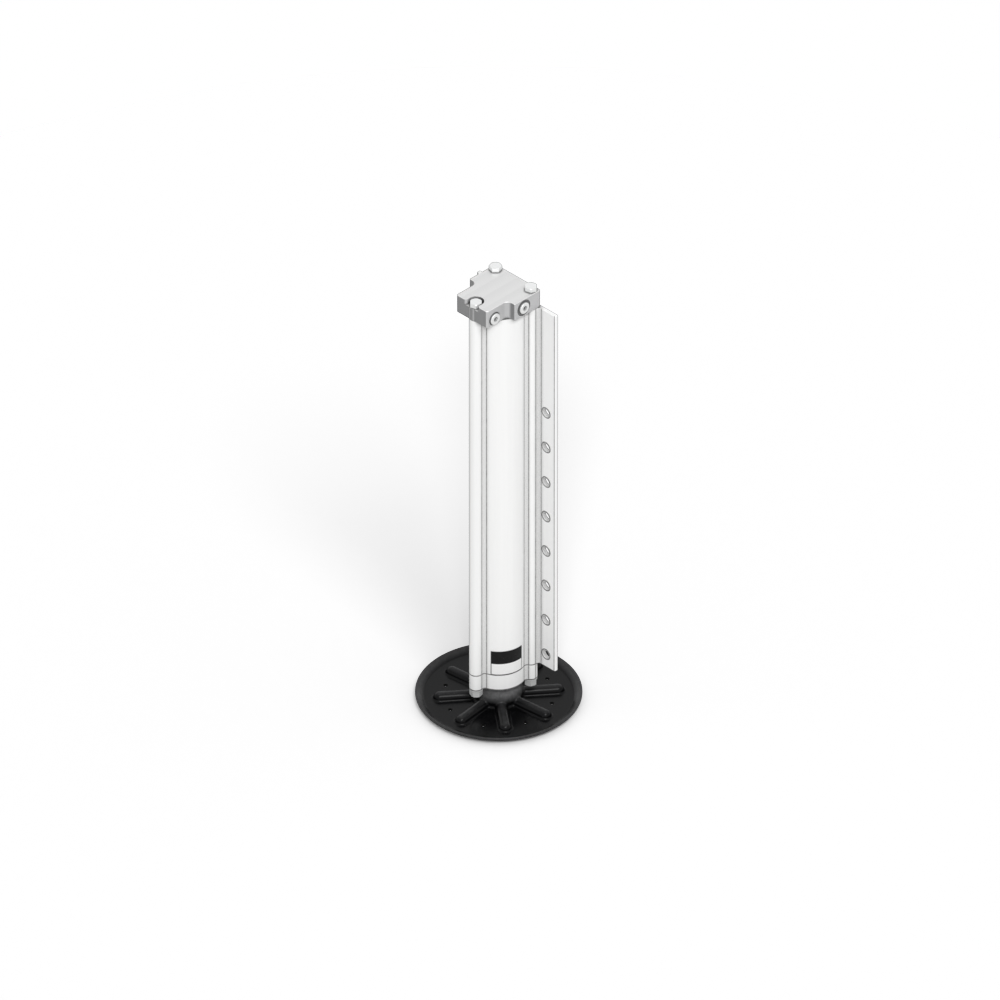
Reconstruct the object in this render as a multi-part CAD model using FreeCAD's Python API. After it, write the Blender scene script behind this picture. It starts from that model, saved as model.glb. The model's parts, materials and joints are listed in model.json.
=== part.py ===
import FreeCAD, Part
import math
import os

Vector = FreeCAD.Vector

# Hydraulic levelling jack for a motorhome: a flanged aluminium barrel between a top manifold and a
# gland head, clamped by three long tie bolts, with a rod that pushes a pressed steel foot down.
# Millimetres and degrees. Z is the rod's axis and points up, Z = 0 is the ground under the foot,
# +Y is the side that bolts to the chassis and +X is the side with the plugged ports.

# Driving dimensions: cylinder
STROKE = 609.6
BORE_RADIUS = 38.1
BARREL_WALL = 12.4
ROD_RADIUS = 25.4
PISTON_LENGTH = 60.0
STOP_TUBE_LENGTH = 82.4
STOP_TUBE_WALL = 7.0
PISTON_TOP_GAP = 2.0
STOP_TUBE_GAP = 1.0

# Driving dimensions: extruded section
LOBE_STANDOFF = 7.4
LOBE_WALL = 4.75
REAR_LOBE_ANGLE = 39.2
SECTION_FILLET = 7.0
FLANGE_HALF_WIDTH = 99.6
FLANGE_THICKNESS = 7.9
FLANGE_BACK_SKIN = 1.4
FLANGE_EDGE_FILLET = 2.4
FLANGE_HOLE_RADIUS = 8.75
FLANGE_HOLE_EDGE = 23.2
FLANGE_HOLE_PITCH = 76.2
FLANGE_HOLE_COUNT = 8
FLANGE_HOLE_FIRST = 27.4
JOINT_CHAMFER = 0.8

# Driving dimensions: tie bolts
TIE_RADIUS = 7.15
TIE_HEAD_FLATS = 20.6
TIE_HEAD_HEIGHT = 9.1
TIE_NUT_FLATS = 20.6
TIE_NUT_HEIGHT = 11.9
TIE_END = 1.6
TIE_WASHER_RADIUS = 12.2
TIE_WASHER_THICKNESS = 2.8
HEX_EDGE_BEVEL = 1.1

# Driving dimensions: top manifold
MANIFOLD_HEIGHT = 36.0
MANIFOLD_SPIGOT = 10.0
MANIFOLD_SIDE_MARGIN = 12.5
MANIFOLD_BACK_MARGIN = 12.8
MANIFOLD_FRONT_MARGIN = 10.8
MANIFOLD_NARROW_MARGIN = 4.9
MANIFOLD_STEP_Y = -16.6
MANIFOLD_STEP_FILLET = 11.0
MANIFOLD_FRONT_CHAMFER = 3.0
MANIFOLD_SHOULDER_FILLET = 2.0
MANIFOLD_REAR_FILLET = 4.5
RECESS_RADIUS = 15.0
RECESS_DEPTH = 10.6
RECESS_MOUTH_FILLET = 6.0

# Driving dimensions: ports and oil ways
PORT_RADIUS = 8.65
PORT_DEPTH = 16.0
PORT_SEAT_RADIUS = 10.8
PORT_SEAT_DEPTH = 5.0
SPOTFACE_DEPTH = 0.8
EXTEND_PORT_Y = 6.2
EXTEND_PORT_HEIGHT = 18.1
EXTEND_SPOTFACE_RADIUS = 16.0
RETRACT_PORT_INSET = 18.7
RETRACT_PORT_HEIGHT = 13.1
RETRACT_SPOTFACE_RADIUS = 12.8
GALLERY_RADIUS = 4.0
LINK_INSET = 0.6
OIL_WAY_RADIUS = 2.8
OIL_WAY_ANGLE = -64.0
OIL_WAY_OUTLET_RISE = 6.0
PLUG_HEAD_RADIUS = 11.2
PLUG_HEAD_HEIGHT = 4.4
PLUG_LENGTH = 12.0
PLUG_SOCKET_FLATS = 9.5
PLUG_SOCKET_DEPTH = 7.0
PLUG_BEVEL = 1.0

# Driving dimensions: gland head and its rings
GLAND_HEIGHT = 33.8
GLAND_SPIGOT = 18.0
BUSH_WALL = 2.6
BUSH_LENGTH = 15.0
ROD_SEAL_WALL = 5.5
ROD_SEAL_HEIGHT = 8.0
ROD_SEAL_DEPTH = 12.0
WIPER_WALL = 4.6
WIPER_HEIGHT = 6.5

# Driving dimensions: piston
PISTON_SPIGOT_RADIUS = 16.0
PISTON_SEAL_WALL = 6.0
PISTON_SEAL_HEIGHT = 8.0
PISTON_SEAL_RISE = 22.0
WEAR_RING_WALL = 2.5
WEAR_RING_HEIGHT = 10.0
WEAR_RING_RISE = 6.0
PISTON_NUT_FLATS = 46.0
PISTON_NUT_HEIGHT = 18.0

# Driving dimensions: round sealing rings, by half of their section
LARGE_RING_SECTION = 1.6
SMALL_RING_SECTION = 0.8
TRANSFER_RING_RADIUS = 3.9

# Driving dimensions: ball joint
BALL_RADIUS = 16.5
STUD_RADIUS = 9.5
STUD_GRIP = 32.0
SWING_CLEARANCE = 3.5
LINER_WALL = 1.5
LINER_SPLIT = 3.0
CUP_GROUND_GAP = 0.8
CUP_FLOOR = 3.5
CUP_RIM_HEIGHT = 4.0
SCREW_RADIUS = 3.0
SCREW_HEAD_RADIUS = 4.9
SCREW_HEAD_HEIGHT = 6.0
SCREW_SEAT_WALL = 2.8
SCREW_OUTER_WALL = 5.5
SCREW_THREAD = 8.0
SCREW_COUNT = 4
ROD_TO_HUB_GAP = 6.4
ROD_STANDOUT = 2.4

# Driving dimensions: pressed foot
FOOT_RADIUS = 151.0
FOOT_SHEET = 4.8
FOOT_RIM_WIDTH = 15.0
FOOT_RIM_RISE = 11.0
FOOT_RIM_FILLET = 4.6
FOOT_RIM_EDGE = 2.1
HUB_CENTRE_HEIGHT = 12.0
HUB_TOP_FILLET = 4.0
HUB_BASE_FILLET = 5.5
RIB_COUNT = 8
RIB_ANGLE = 6.3
RIB_CROWN_RADIUS = 11.6
RIB_AXIS_RISE = 0.8
RIB_END_RADIUS = 119.3
RIB_FILLET = 4.2
FOOT_HOLE_RADIUS = 4.1
FOOT_HOLE_CIRCLE = 100.25

# Driving dimensions: decals
DECAL_WIDTH = 62.0
DECAL_HEIGHT = 51.0
DECAL_THICKNESS = 0.4
DECAL_ANGLE = -26.0
DECAL_RISE = 1.0

# Clearances
BOLT_CLEARANCE = 0.5
THREAD_CLEARANCE = 0.05
FIT_CLEARANCE = 0.05
RUNNING_CLEARANCE = 0.08
BALL_CLEARANCE = 0.08
RING_CLEARANCE = 0.1
SPLIT_CLEARANCE = 0.2
DECAL_CLEARANCE = 0.2

# How far a cut runs past a face, and how near an edge lies to the place it is picked by
THROUGH = 5.0
TOLERANCE = 1e-3

# Ball joint, from the ground up
liner_inner = BALL_RADIUS + BALL_CLEARANCE
liner_outer = liner_inner + LINER_WALL
seat_radius = liner_outer + BALL_CLEARANCE
ball_z = CUP_GROUND_GAP + CUP_FLOOR + seat_radius
collar_opening = STUD_RADIUS + SWING_CLEARANCE
collar_top_z = ball_z + math.sqrt(seat_radius ** 2 - collar_opening ** 2)
screw_circle = seat_radius + SCREW_SEAT_WALL + SCREW_RADIUS
collar_radius = screw_circle + SCREW_RADIUS + SCREW_OUTER_WALL

# Hub of the foot: a sphere that holds the collar under a flat top
hub_inner = math.hypot(collar_radius + RING_CLEARANCE, collar_top_z + FIT_CLEARANCE - HUB_CENTRE_HEIGHT)
hub_outer = hub_inner + FOOT_SHEET
hub_top_z = collar_top_z + FIT_CLEARANCE + FOOT_SHEET
web_radius = FOOT_RADIUS - FOOT_RIM_WIDTH
rib_pitch = 360.0 / RIB_COUNT

# Heights of the cylinder, from the foot up
rod_end_z = hub_top_z + ROD_TO_HUB_GAP
gland_bottom_z = rod_end_z + ROD_STANDOUT
barrel_bottom_z = gland_bottom_z + GLAND_HEIGHT
gland_top_z = barrel_bottom_z + GLAND_SPIGOT
stop_tube_bottom_z = gland_top_z + STOP_TUBE_GAP + STROKE
piston_bottom_z = stop_tube_bottom_z + STOP_TUBE_LENGTH
piston_top_z = piston_bottom_z + PISTON_LENGTH
barrel_top_z = piston_top_z + PISTON_TOP_GAP + MANIFOLD_SPIGOT
manifold_top_z = barrel_top_z + MANIFOLD_HEIGHT
manifold_ring_z = barrel_top_z - MANIFOLD_SPIGOT / 2
gland_ring_z = barrel_bottom_z + GLAND_SPIGOT / 2
rod_seal_top_z = barrel_bottom_z - ROD_SEAL_DEPTH
rod_seal_bottom_z = rod_seal_top_z - ROD_SEAL_HEIGHT
piston_nut_bottom_z = piston_top_z - PISTON_TOP_GAP - PISTON_NUT_HEIGHT
piston_nut_top_z = piston_nut_bottom_z + PISTON_NUT_HEIGHT
piston_o_ring_z = piston_bottom_z + WEAR_RING_RISE + WEAR_RING_HEIGHT / 2
tie_nut_top_z = gland_bottom_z - TIE_WASHER_THICKNESS
tie_nut_bottom_z = tie_nut_top_z - TIE_NUT_HEIGHT

# Radii of the cylinder's fits
spigot_radius = BORE_RADIUS - FIT_CLEARANCE
piston_radius = BORE_RADIUS - RUNNING_CLEARANCE
piston_hole_radius = PISTON_SPIGOT_RADIUS + FIT_CLEARANCE
rod_hole_radius = ROD_RADIUS + RUNNING_CLEARANCE
tie_hole_radius = TIE_RADIUS + BOLT_CLEARANCE
tie_thread_radius = TIE_RADIUS + THREAD_CLEARANCE

# Section of the cylinder
barrel_radius = BORE_RADIUS + BARREL_WALL
lobe_radius = tie_hole_radius + LOBE_WALL
lobe_distance = barrel_radius + LOBE_STANDOFF
rear_lobe_x = lobe_distance * math.cos(math.radians(REAR_LOBE_ANGLE))
rear_lobe_y = lobe_distance * math.sin(math.radians(REAR_LOBE_ANGLE))
front_lobe = (0.0, -lobe_distance)
rear_lobes = [(-rear_lobe_x, rear_lobe_y), (rear_lobe_x, rear_lobe_y)]
lobes = [front_lobe] + rear_lobes
flange_back_y = barrel_radius + FLANGE_BACK_SKIN
flange_front_y = flange_back_y - FLANGE_THICKNESS

# A hexagon's turn sets the direction that one of its flats faces
FLAT_TO_CORNER = 30.0
BOLT_TURN = {front_lobe: -15.0, rear_lobes[0]: -45.0, rear_lobes[1]: -15.0}
NUT_TURN = {front_lobe: -45.0, rear_lobes[0]: -45.0, rear_lobes[1]: -15.0}

# Outline of the manifold
manifold_half_wide = rear_lobe_x + MANIFOLD_SIDE_MARGIN
manifold_back_y = rear_lobe_y + MANIFOLD_BACK_MARGIN
manifold_front_y = -lobe_distance - MANIFOLD_FRONT_MARGIN
manifold_half_narrow = math.sqrt(BORE_RADIUS ** 2 - MANIFOLD_STEP_Y ** 2) + MANIFOLD_NARROW_MARGIN
recess_floor_z = manifold_top_z - RECESS_DEPTH
retract_port_y = manifold_front_y + RETRACT_PORT_INSET
extend_port_z = barrel_top_z + EXTEND_PORT_HEIGHT
retract_port_z = barrel_top_z + RETRACT_PORT_HEIGHT
EXTEND_PORT = (manifold_half_wide, EXTEND_PORT_Y, extend_port_z, EXTEND_SPOTFACE_RADIUS)
RETRACT_PORT = (manifold_half_narrow, retract_port_y, retract_port_z, RETRACT_SPOTFACE_RADIUS)

# Oil way in the barrel's wall, which feeds the rod side
oil_way_circle = BORE_RADIUS + BARREL_WALL / 2
oil_way_x = oil_way_circle * math.cos(math.radians(OIL_WAY_ANGLE))
oil_way_y = oil_way_circle * math.sin(math.radians(OIL_WAY_ANGLE))
oil_way_outlet_z = gland_top_z + OIL_WAY_OUTLET_RISE


def cylinder(radius, bottom, top, x=0.0, y=0.0):
    return Part.makeCylinder(radius, top - bottom, Vector(x, y, bottom))


def tube(outer, inner, bottom, top, x=0.0, y=0.0):
    return cylinder(outer, bottom, top, x, y).cut(cylinder(inner, bottom, top, x, y))


def rod_between(radius, start, end):
    return Part.makeCylinder(radius, (end - start).Length, start, end - start)


def sphere(radius, z):
    return Part.makeSphere(radius, Vector(0, 0, z))


def round_ring(radius, section, z, x=0.0, y=0.0):
    return Part.makeTorus(radius, section, Vector(x, y, z))


def prism(points, bottom, top):
    corners = [Vector(x, y, bottom) for x, y in points]
    wire = Part.makePolygon(corners + corners[:1])
    return Part.Face(wire).extrude(Vector(0, 0, top - bottom))


def revolve(edges):
    return Part.Face(Part.Wire(edges)).revolve(Vector(0, 0, 0), Vector(0, 0, 1), 360)


def edges_at_height(solid, z):
    """The solid's edges that lie flat at one height."""
    boxes = [(edge, edge.BoundBox) for edge in solid.Edges]
    return [edge for edge, box in boxes if max(box.ZMax - z, z - box.ZMin) < TOLERANCE]


def hex_prism(flats, bottom, top, place, turn):
    corner = flats / math.sqrt(3)
    x, y = place
    angles = [math.radians(turn + FLAT_TO_CORNER + 60 * k) for k in range(6)]
    return prism([(x + corner * math.cos(a), y + corner * math.sin(a)) for a in angles], bottom, top)


def hex_fastener(flats, bottom, top, place, turn, bevelled_ends):
    """A hexagonal prism with its corners turned down at the given heights."""
    turned = cylinder(flats / math.sqrt(3), bottom, top, *place)
    rims = [edge for z in bevelled_ends for edge in edges_at_height(turned, z)]
    return hex_prism(flats, bottom, top, place, turn).common(turned.makeChamfer(HEX_EDGE_BEVEL, rims))


def upright_edges(solid, points):
    """The solid's vertical edges that stand at the given places."""
    found = []
    for edge in solid.Edges:
        box = edge.BoundBox
        if box.ZLength < TOLERANCE or max(box.XLength, box.YLength) > TOLERANCE:
            continue
        if any(math.hypot(box.Center.x - x, box.Center.y - y) < TOLERANCE for x, y in points):
            found.append(edge)
    return found


def circle_crossings(centre):
    """Where a lobe's outline crosses the round of the barrel."""
    angle = math.atan2(centre[1], centre[0])
    squares = barrel_radius ** 2 + lobe_distance ** 2 - lobe_radius ** 2
    spread = math.acos(squares / (2 * barrel_radius * lobe_distance))
    sides = (angle - spread, angle + spread)
    return [(barrel_radius * math.cos(side), barrel_radius * math.sin(side)) for side in sides]


def section_body(bottom, top, flanged):
    """The cylinder's round with its three bolt lobes, filleted together, with or without the flange."""
    body = cylinder(barrel_radius, bottom, top)
    for x, y in lobes:
        body = body.fuse(cylinder(lobe_radius, bottom, top, x, y))
    inner_corners = [point for centre in lobes for point in circle_crossings(centre)]
    if flanged:
        height = top - bottom
        web = Part.makeBox(2 * rear_lobe_x, flange_back_y - rear_lobe_y, height,
                           Vector(-rear_lobe_x, rear_lobe_y, bottom))
        flange = Part.makeBox(2 * FLANGE_HALF_WIDTH, FLANGE_THICKNESS, height,
                              Vector(-FLANGE_HALF_WIDTH, flange_front_y, bottom))
        body = body.fuse([web, flange])
        lobe_reach = math.sqrt(lobe_radius ** 2 - (flange_front_y - rear_lobe_y) ** 2)
        inner_corners += [(side * (rear_lobe_x + lobe_reach), flange_front_y) for side in (-1, 1)]
    body = body.removeSplitter()
    body = body.makeFillet(SECTION_FILLET, upright_edges(body, inner_corners))
    if flanged:
        ends = [(side * FLANGE_HALF_WIDTH, y) for side in (-1, 1) for y in (flange_front_y, flange_back_y)]
        body = body.makeFillet(FLANGE_EDGE_FILLET, upright_edges(body, ends))
    return body


def chamfered_section(bottom, top, flanged):
    """The section with a chamfer all round each end, so that its joints show as fine grooves."""
    slice_height = 4 * JOINT_CHAMFER
    end = section_body(0, slice_height, flanged)
    shaving = end.cut(end.makeChamfer(JOINT_CHAMFER, edges_at_height(end, 0)))
    bottom_shaving = shaving.translated(Vector(0, 0, bottom))
    top_shaving = shaving.mirror(Vector(), Vector(0, 0, 1)).translated(Vector(0, 0, top))
    return section_body(bottom, top, flanged).cut([bottom_shaving, top_shaving])


def barrel_extrusion():
    body = chamfered_section(barrel_bottom_z, barrel_top_z, True)
    low, high = barrel_bottom_z - THROUGH, barrel_top_z + THROUGH
    cuts = [cylinder(BORE_RADIUS, low, high)]
    cuts += [cylinder(tie_hole_radius, low, high, x, y) for x, y in lobes]
    cuts.append(cylinder(OIL_WAY_RADIUS, low, high, oil_way_x, oil_way_y))
    outlet = Vector(oil_way_x, oil_way_y, oil_way_outlet_z)
    cuts.append(rod_between(OIL_WAY_RADIUS, Vector(0, 0, oil_way_outlet_z), outlet))
    hole_x = FLANGE_HALF_WIDTH - FLANGE_HOLE_EDGE
    for row in range(FLANGE_HOLE_COUNT):
        z = barrel_bottom_z + FLANGE_HOLE_FIRST + row * FLANGE_HOLE_PITCH
        for x in (-hole_x, hole_x):
            front = Vector(x, flange_front_y - THROUGH, z)
            cuts.append(rod_between(FLANGE_HOLE_RADIUS, front, Vector(x, flange_back_y + THROUGH, z)))
    return body.cut(cuts)


def recess_cut():
    """The front bolt's round recess with its mouth flared out through the manifold's front face."""
    centre_x, centre_y = front_lobe
    offset = manifold_front_y + RECESS_MOUTH_FILLET - centre_y
    reach = RECESS_RADIUS + RECESS_MOUTH_FILLET
    flare_x = math.sqrt(reach ** 2 - offset ** 2)
    flare_y = manifold_front_y + RECESS_MOUTH_FILLET
    touch_x = flare_x * RECESS_RADIUS / reach
    touch_y = centre_y + offset * RECESS_RADIUS / reach
    halfway = (math.atan2(touch_y - flare_y, touch_x - flare_x) + 1.5 * math.pi) / 2
    middle_x = flare_x + RECESS_MOUTH_FILLET * math.cos(halfway)
    middle_y = flare_y + RECESS_MOUTH_FILLET * math.sin(halfway)
    back_y = centre_y + RECESS_RADIUS
    outside_y = manifold_front_y - lobe_radius

    def at(x, y):
        return Vector(x, y, recess_floor_z)

    edges = [
        Part.Arc(at(touch_x, touch_y), at(centre_x, back_y), at(-touch_x, touch_y)).toShape(),
        Part.Arc(at(-touch_x, touch_y), at(-middle_x, middle_y), at(-flare_x, manifold_front_y)).toShape(),
        Part.LineSegment(at(-flare_x, manifold_front_y), at(-flare_x, outside_y)).toShape(),
        Part.LineSegment(at(-flare_x, outside_y), at(flare_x, outside_y)).toShape(),
        Part.LineSegment(at(flare_x, outside_y), at(flare_x, manifold_front_y)).toShape(),
        Part.Arc(at(flare_x, manifold_front_y), at(middle_x, middle_y), at(touch_x, touch_y)).toShape(),
    ]
    return Part.Face(Part.Wire(edges)).extrude(Vector(0, 0, RECESS_DEPTH + THROUGH))


def port_cuts(port, side):
    """The tools that cut one threaded port, its sealing cone and its spot face, on the +X or -X side."""
    face_x, y, z, spotface = port
    inward = Vector(-side, 0, 0)
    seat = Vector(side * (face_x - SPOTFACE_DEPTH), y, z)
    bore = Part.makeCylinder(PORT_RADIUS, PORT_DEPTH, seat, inward)
    cone = Part.makeCone(PORT_SEAT_RADIUS, PORT_RADIUS, PORT_SEAT_DEPTH, seat, inward)
    outside = Vector(side * (face_x + THROUGH), y, z)
    face = Part.makeCylinder(spotface, SPOTFACE_DEPTH + THROUGH, outside, inward)
    return [bore, cone, face]


def top_manifold():
    front, back, step = manifold_front_y, manifold_back_y, MANIFOLD_STEP_Y
    narrow, wide = manifold_half_narrow, manifold_half_wide
    right = [(narrow, front), (narrow, step), (wide, step), (wide, back)]
    left = [(-x, y) for x, y in reversed(right)]
    body = prism(right + left, barrel_top_z, manifold_top_z)
    front_corners = upright_edges(body, [(narrow, front), (-narrow, front)])
    body = body.makeChamfer(MANIFOLD_FRONT_CHAMFER, front_corners)
    rounds = (
        (MANIFOLD_STEP_FILLET, narrow, step),
        (MANIFOLD_SHOULDER_FILLET, wide, step),
        (MANIFOLD_REAR_FILLET, wide, back),
    )
    for radius, x, y in rounds:
        body = body.makeFillet(radius, upright_edges(body, [(x, y), (-x, y)]))
    outline = edges_at_height(body, barrel_top_z) + edges_at_height(body, manifold_top_z)
    body = body.makeChamfer(JOINT_CHAMFER, outline)
    nose = cylinder(lobe_radius, barrel_top_z, manifold_top_z, *front_lobe)
    nose = nose.makeChamfer(JOINT_CHAMFER, edges_at_height(nose, barrel_top_z))
    body = body.fuse([nose, cylinder(spigot_radius, barrel_top_z - MANIFOLD_SPIGOT, barrel_top_z)])
    low, high = barrel_top_z - THROUGH, manifold_top_z + THROUGH
    cuts = [cylinder(tie_hole_radius, low, high, x, y) for x, y in lobes]
    cuts.append(recess_cut())
    for port in (EXTEND_PORT, RETRACT_PORT):
        for side in (-1, 1):
            cuts += port_cuts(port, side)
    cuts.append(ring_groove(BORE_RADIUS, manifold_ring_z))
    cuts.append(transfer_seat(barrel_top_z, 1))
    cuts += oil_ways()
    return body.cut(cuts)


def oil_ways():
    """Drillings from the extend ports to the bore and from the retract ports to the barrel's wall."""
    extend_end = Vector(manifold_half_wide - PORT_DEPTH, EXTEND_PORT_Y, extend_port_z)
    spigot_face = Vector(0, EXTEND_PORT_Y, barrel_top_z - MANIFOLD_SPIGOT - THROUGH)
    link_y = retract_port_y + PORT_RADIUS - OIL_WAY_RADIUS - LINK_INSET
    link_x = manifold_half_narrow - PORT_DEPTH + OIL_WAY_RADIUS
    link = Vector(oil_way_x, link_y, retract_port_z)
    return [
        rod_between(GALLERY_RADIUS, Vector(-extend_end.x, extend_end.y, extend_end.z), extend_end),
        rod_between(GALLERY_RADIUS, spigot_face, Vector(0, EXTEND_PORT_Y, extend_port_z)),
        rod_between(OIL_WAY_RADIUS, Vector(-link_x, link.y, link.z), Vector(link_x, link.y, link.z)),
        rod_between(OIL_WAY_RADIUS, Vector(oil_way_x, oil_way_y, barrel_top_z), link),
    ]


def ring_groove(bore_radius, z):
    """A groove for a large sealing ring, round the spigot that fits a bore."""
    half = LARGE_RING_SECTION + RING_CLEARANCE
    return tube(bore_radius + THROUGH, bore_radius - 2 * half, z - half, z + half)


def groove_ring(bore_radius, z):
    """The large sealing ring that lies in such a groove, clear of its floor and of the bore."""
    return round_ring(bore_radius - RING_CLEARANCE - LARGE_RING_SECTION, LARGE_RING_SECTION, z)


def transfer_seat(face_z, direction):
    """The counterbore for a small sealing ring where the oil way crosses a joint."""
    radius = TRANSFER_RING_RADIUS + SMALL_RING_SECTION + RING_CLEARANCE
    depth = 2 * SMALL_RING_SECTION + RING_CLEARANCE
    seat = Vector(oil_way_x, oil_way_y, face_z)
    return rod_between(radius, seat, seat + Vector(0, 0, direction * depth))


def transfer_o_rings():
    heights = (barrel_top_z + SMALL_RING_SECTION + RING_CLEARANCE / 2,
               barrel_bottom_z - SMALL_RING_SECTION - RING_CLEARANCE / 2)
    rings = [round_ring(TRANSFER_RING_RADIUS, SMALL_RING_SECTION, z, oil_way_x, oil_way_y) for z in heights]
    return Part.makeCompound(rings)


def gland_head():
    body = chamfered_section(gland_bottom_z, barrel_bottom_z, False)
    body = body.fuse(cylinder(spigot_radius, barrel_bottom_z, gland_top_z))
    low, high = gland_bottom_z - THROUGH, gland_top_z + THROUGH
    cuts = [
        cylinder(rod_hole_radius, low, high),
        cylinder(rod_hole_radius + BUSH_WALL, gland_top_z - BUSH_LENGTH, high),
        cylinder(rod_hole_radius + ROD_SEAL_WALL, rod_seal_bottom_z, rod_seal_top_z),
        cylinder(rod_hole_radius + WIPER_WALL, low, gland_bottom_z + WIPER_HEIGHT),
        ring_groove(BORE_RADIUS, gland_ring_z),
        transfer_seat(barrel_bottom_z, -1),
    ]
    cuts += [cylinder(tie_hole_radius, low, high, x, y) for x, y in lobes]
    return body.cut(cuts)


def rod_ring(wall, bottom, top):
    """A ring in the gland that runs on the rod."""
    outer = rod_hole_radius + wall - FIT_CLEARANCE
    return tube(outer, rod_hole_radius, bottom + FIT_CLEARANCE, top - FIT_CLEARANCE)


def tie_bolt(place, seat_z):
    x, y = place
    head_top = seat_z + TIE_HEAD_HEIGHT
    head = hex_fastener(TIE_HEAD_FLATS, seat_z, head_top, place, BOLT_TURN[place], [head_top])
    return head.fuse(cylinder(TIE_RADIUS, tie_nut_bottom_z - TIE_END, seat_z, x, y)).removeSplitter()


def tie_bolt_washers():
    size = (TIE_WASHER_RADIUS, tie_thread_radius, tie_nut_top_z, gland_bottom_z)
    return Part.makeCompound([tube(*size, *place) for place in lobes])


def tie_bolt_nuts():
    bottom, top = tie_nut_bottom_z, tie_nut_top_z
    nuts = []
    for place in lobes:
        nut = hex_fastener(TIE_NUT_FLATS, bottom, top, place, NUT_TURN[place], [bottom, top])
        nuts.append(nut.cut(cylinder(tie_thread_radius, bottom - THROUGH, top + THROUGH, *place)))
    return Part.makeCompound(nuts)


def port_plug(port):
    """A plug with a hexagonal socket, screwed into a +X port until its head meets the spot face."""
    face_x, y, z, _ = port
    head = cylinder(PLUG_HEAD_RADIUS, 0, PLUG_HEAD_HEIGHT)
    head = head.makeChamfer(PLUG_BEVEL, edges_at_height(head, PLUG_HEAD_HEIGHT))
    body = head.fuse(cylinder(PORT_RADIUS - THREAD_CLEARANCE, -PLUG_LENGTH, 0))
    socket_floor = PLUG_HEAD_HEIGHT - PLUG_SOCKET_DEPTH
    body = body.cut(hex_prism(PLUG_SOCKET_FLATS, socket_floor, PLUG_HEAD_HEIGHT + THROUGH, (0, 0), 0))
    body.rotate(Vector(0, 0, 0), Vector(0, 1, 0), 90)
    body.translate(Vector(face_x - SPOTFACE_DEPTH, y, z))
    return body


def port_plug_o_rings():
    """The rings that lie in the ports' sealing cones, under the plugs' heads."""
    rings = []
    for face_x, y, z, _ in (EXTEND_PORT, RETRACT_PORT):
        inset = SPOTFACE_DEPTH + SMALL_RING_SECTION + RING_CLEARANCE / 2
        radius = PORT_RADIUS + SMALL_RING_SECTION
        place = Vector(face_x - inset, y, z)
        rings.append(Part.makeTorus(radius, SMALL_RING_SECTION, place, Vector(1, 0, 0)))
    return Part.makeCompound(rings)


def decal(side):
    """A thin printed film wrapped on the barrel just above the gland joint."""
    bottom = barrel_bottom_z + DECAL_RISE
    inner = barrel_radius + DECAL_CLEARANCE
    spread = math.degrees(DECAL_WIDTH / barrel_radius)
    face = Part.makePolygon([
        Vector(inner, 0, bottom),
        Vector(inner + DECAL_THICKNESS, 0, bottom),
        Vector(inner + DECAL_THICKNESS, 0, bottom + DECAL_HEIGHT),
        Vector(inner, 0, bottom + DECAL_HEIGHT),
        Vector(inner, 0, bottom),
    ])
    film = Part.Face(face).revolve(Vector(0, 0, 0), Vector(0, 0, 1), spread)
    film.rotate(Vector(0, 0, 0), Vector(0, 0, 1), DECAL_ANGLE - spread / 2)
    return film if side > 0 else film.mirror(Vector(0, 0, 0), Vector(1, 0, 0))


def piston_rod():
    """The chromed rod, turned down at the top for the piston and bored at the bottom for the ball stud."""
    shaft = cylinder(ROD_RADIUS, rod_end_z, piston_bottom_z)
    shaft = shaft.fuse(cylinder(PISTON_SPIGOT_RADIUS, piston_bottom_z, piston_nut_top_z))
    shaft = shaft.cut(cylinder(STUD_RADIUS + THREAD_CLEARANCE, rod_end_z - THROUGH, rod_end_z + STUD_GRIP))
    return shaft.cut(ring_groove(piston_hole_radius, piston_o_ring_z))


def piston():
    """The piston, hollowed at the top for its nut and grooved for its seal and wear ring."""
    nut_room = PISTON_NUT_FLATS / math.sqrt(3) + BOLT_CLEARANCE
    seal_z = piston_bottom_z + PISTON_SEAL_RISE
    wear_z = piston_bottom_z + WEAR_RING_RISE
    outside = piston_radius + THROUGH
    return cylinder(piston_radius, piston_bottom_z, piston_top_z).cut([
        cylinder(piston_hole_radius, piston_bottom_z - THROUGH, piston_top_z + THROUGH),
        cylinder(nut_room, piston_nut_bottom_z, piston_top_z + THROUGH),
        tube(outside, piston_radius - PISTON_SEAL_WALL, seal_z, seal_z + PISTON_SEAL_HEIGHT),
        tube(outside, piston_radius - WEAR_RING_WALL, wear_z, wear_z + WEAR_RING_HEIGHT),
    ])


def piston_ring(wall, rise, height):
    """A ring that lies in one of the piston's grooves."""
    inner = piston_radius - wall + FIT_CLEARANCE
    bottom = piston_bottom_z + rise
    return tube(piston_radius, inner, bottom + FIT_CLEARANCE, bottom + height - FIT_CLEARANCE)


def piston_nut():
    bottom, top = piston_nut_bottom_z, piston_nut_top_z
    nut = hex_fastener(PISTON_NUT_FLATS, bottom, top, (0, 0), 0, [top])
    return nut.cut(cylinder(PISTON_SPIGOT_RADIUS + THREAD_CLEARANCE, bottom - THROUGH, top + THROUGH))


def stop_tube():
    inner = ROD_RADIUS + FIT_CLEARANCE
    return tube(inner + STOP_TUBE_WALL, inner, stop_tube_bottom_z, piston_bottom_z)


def ball_stud():
    return sphere(BALL_RADIUS, ball_z).fuse(cylinder(STUD_RADIUS, ball_z, rod_end_z + STUD_GRIP))


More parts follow.
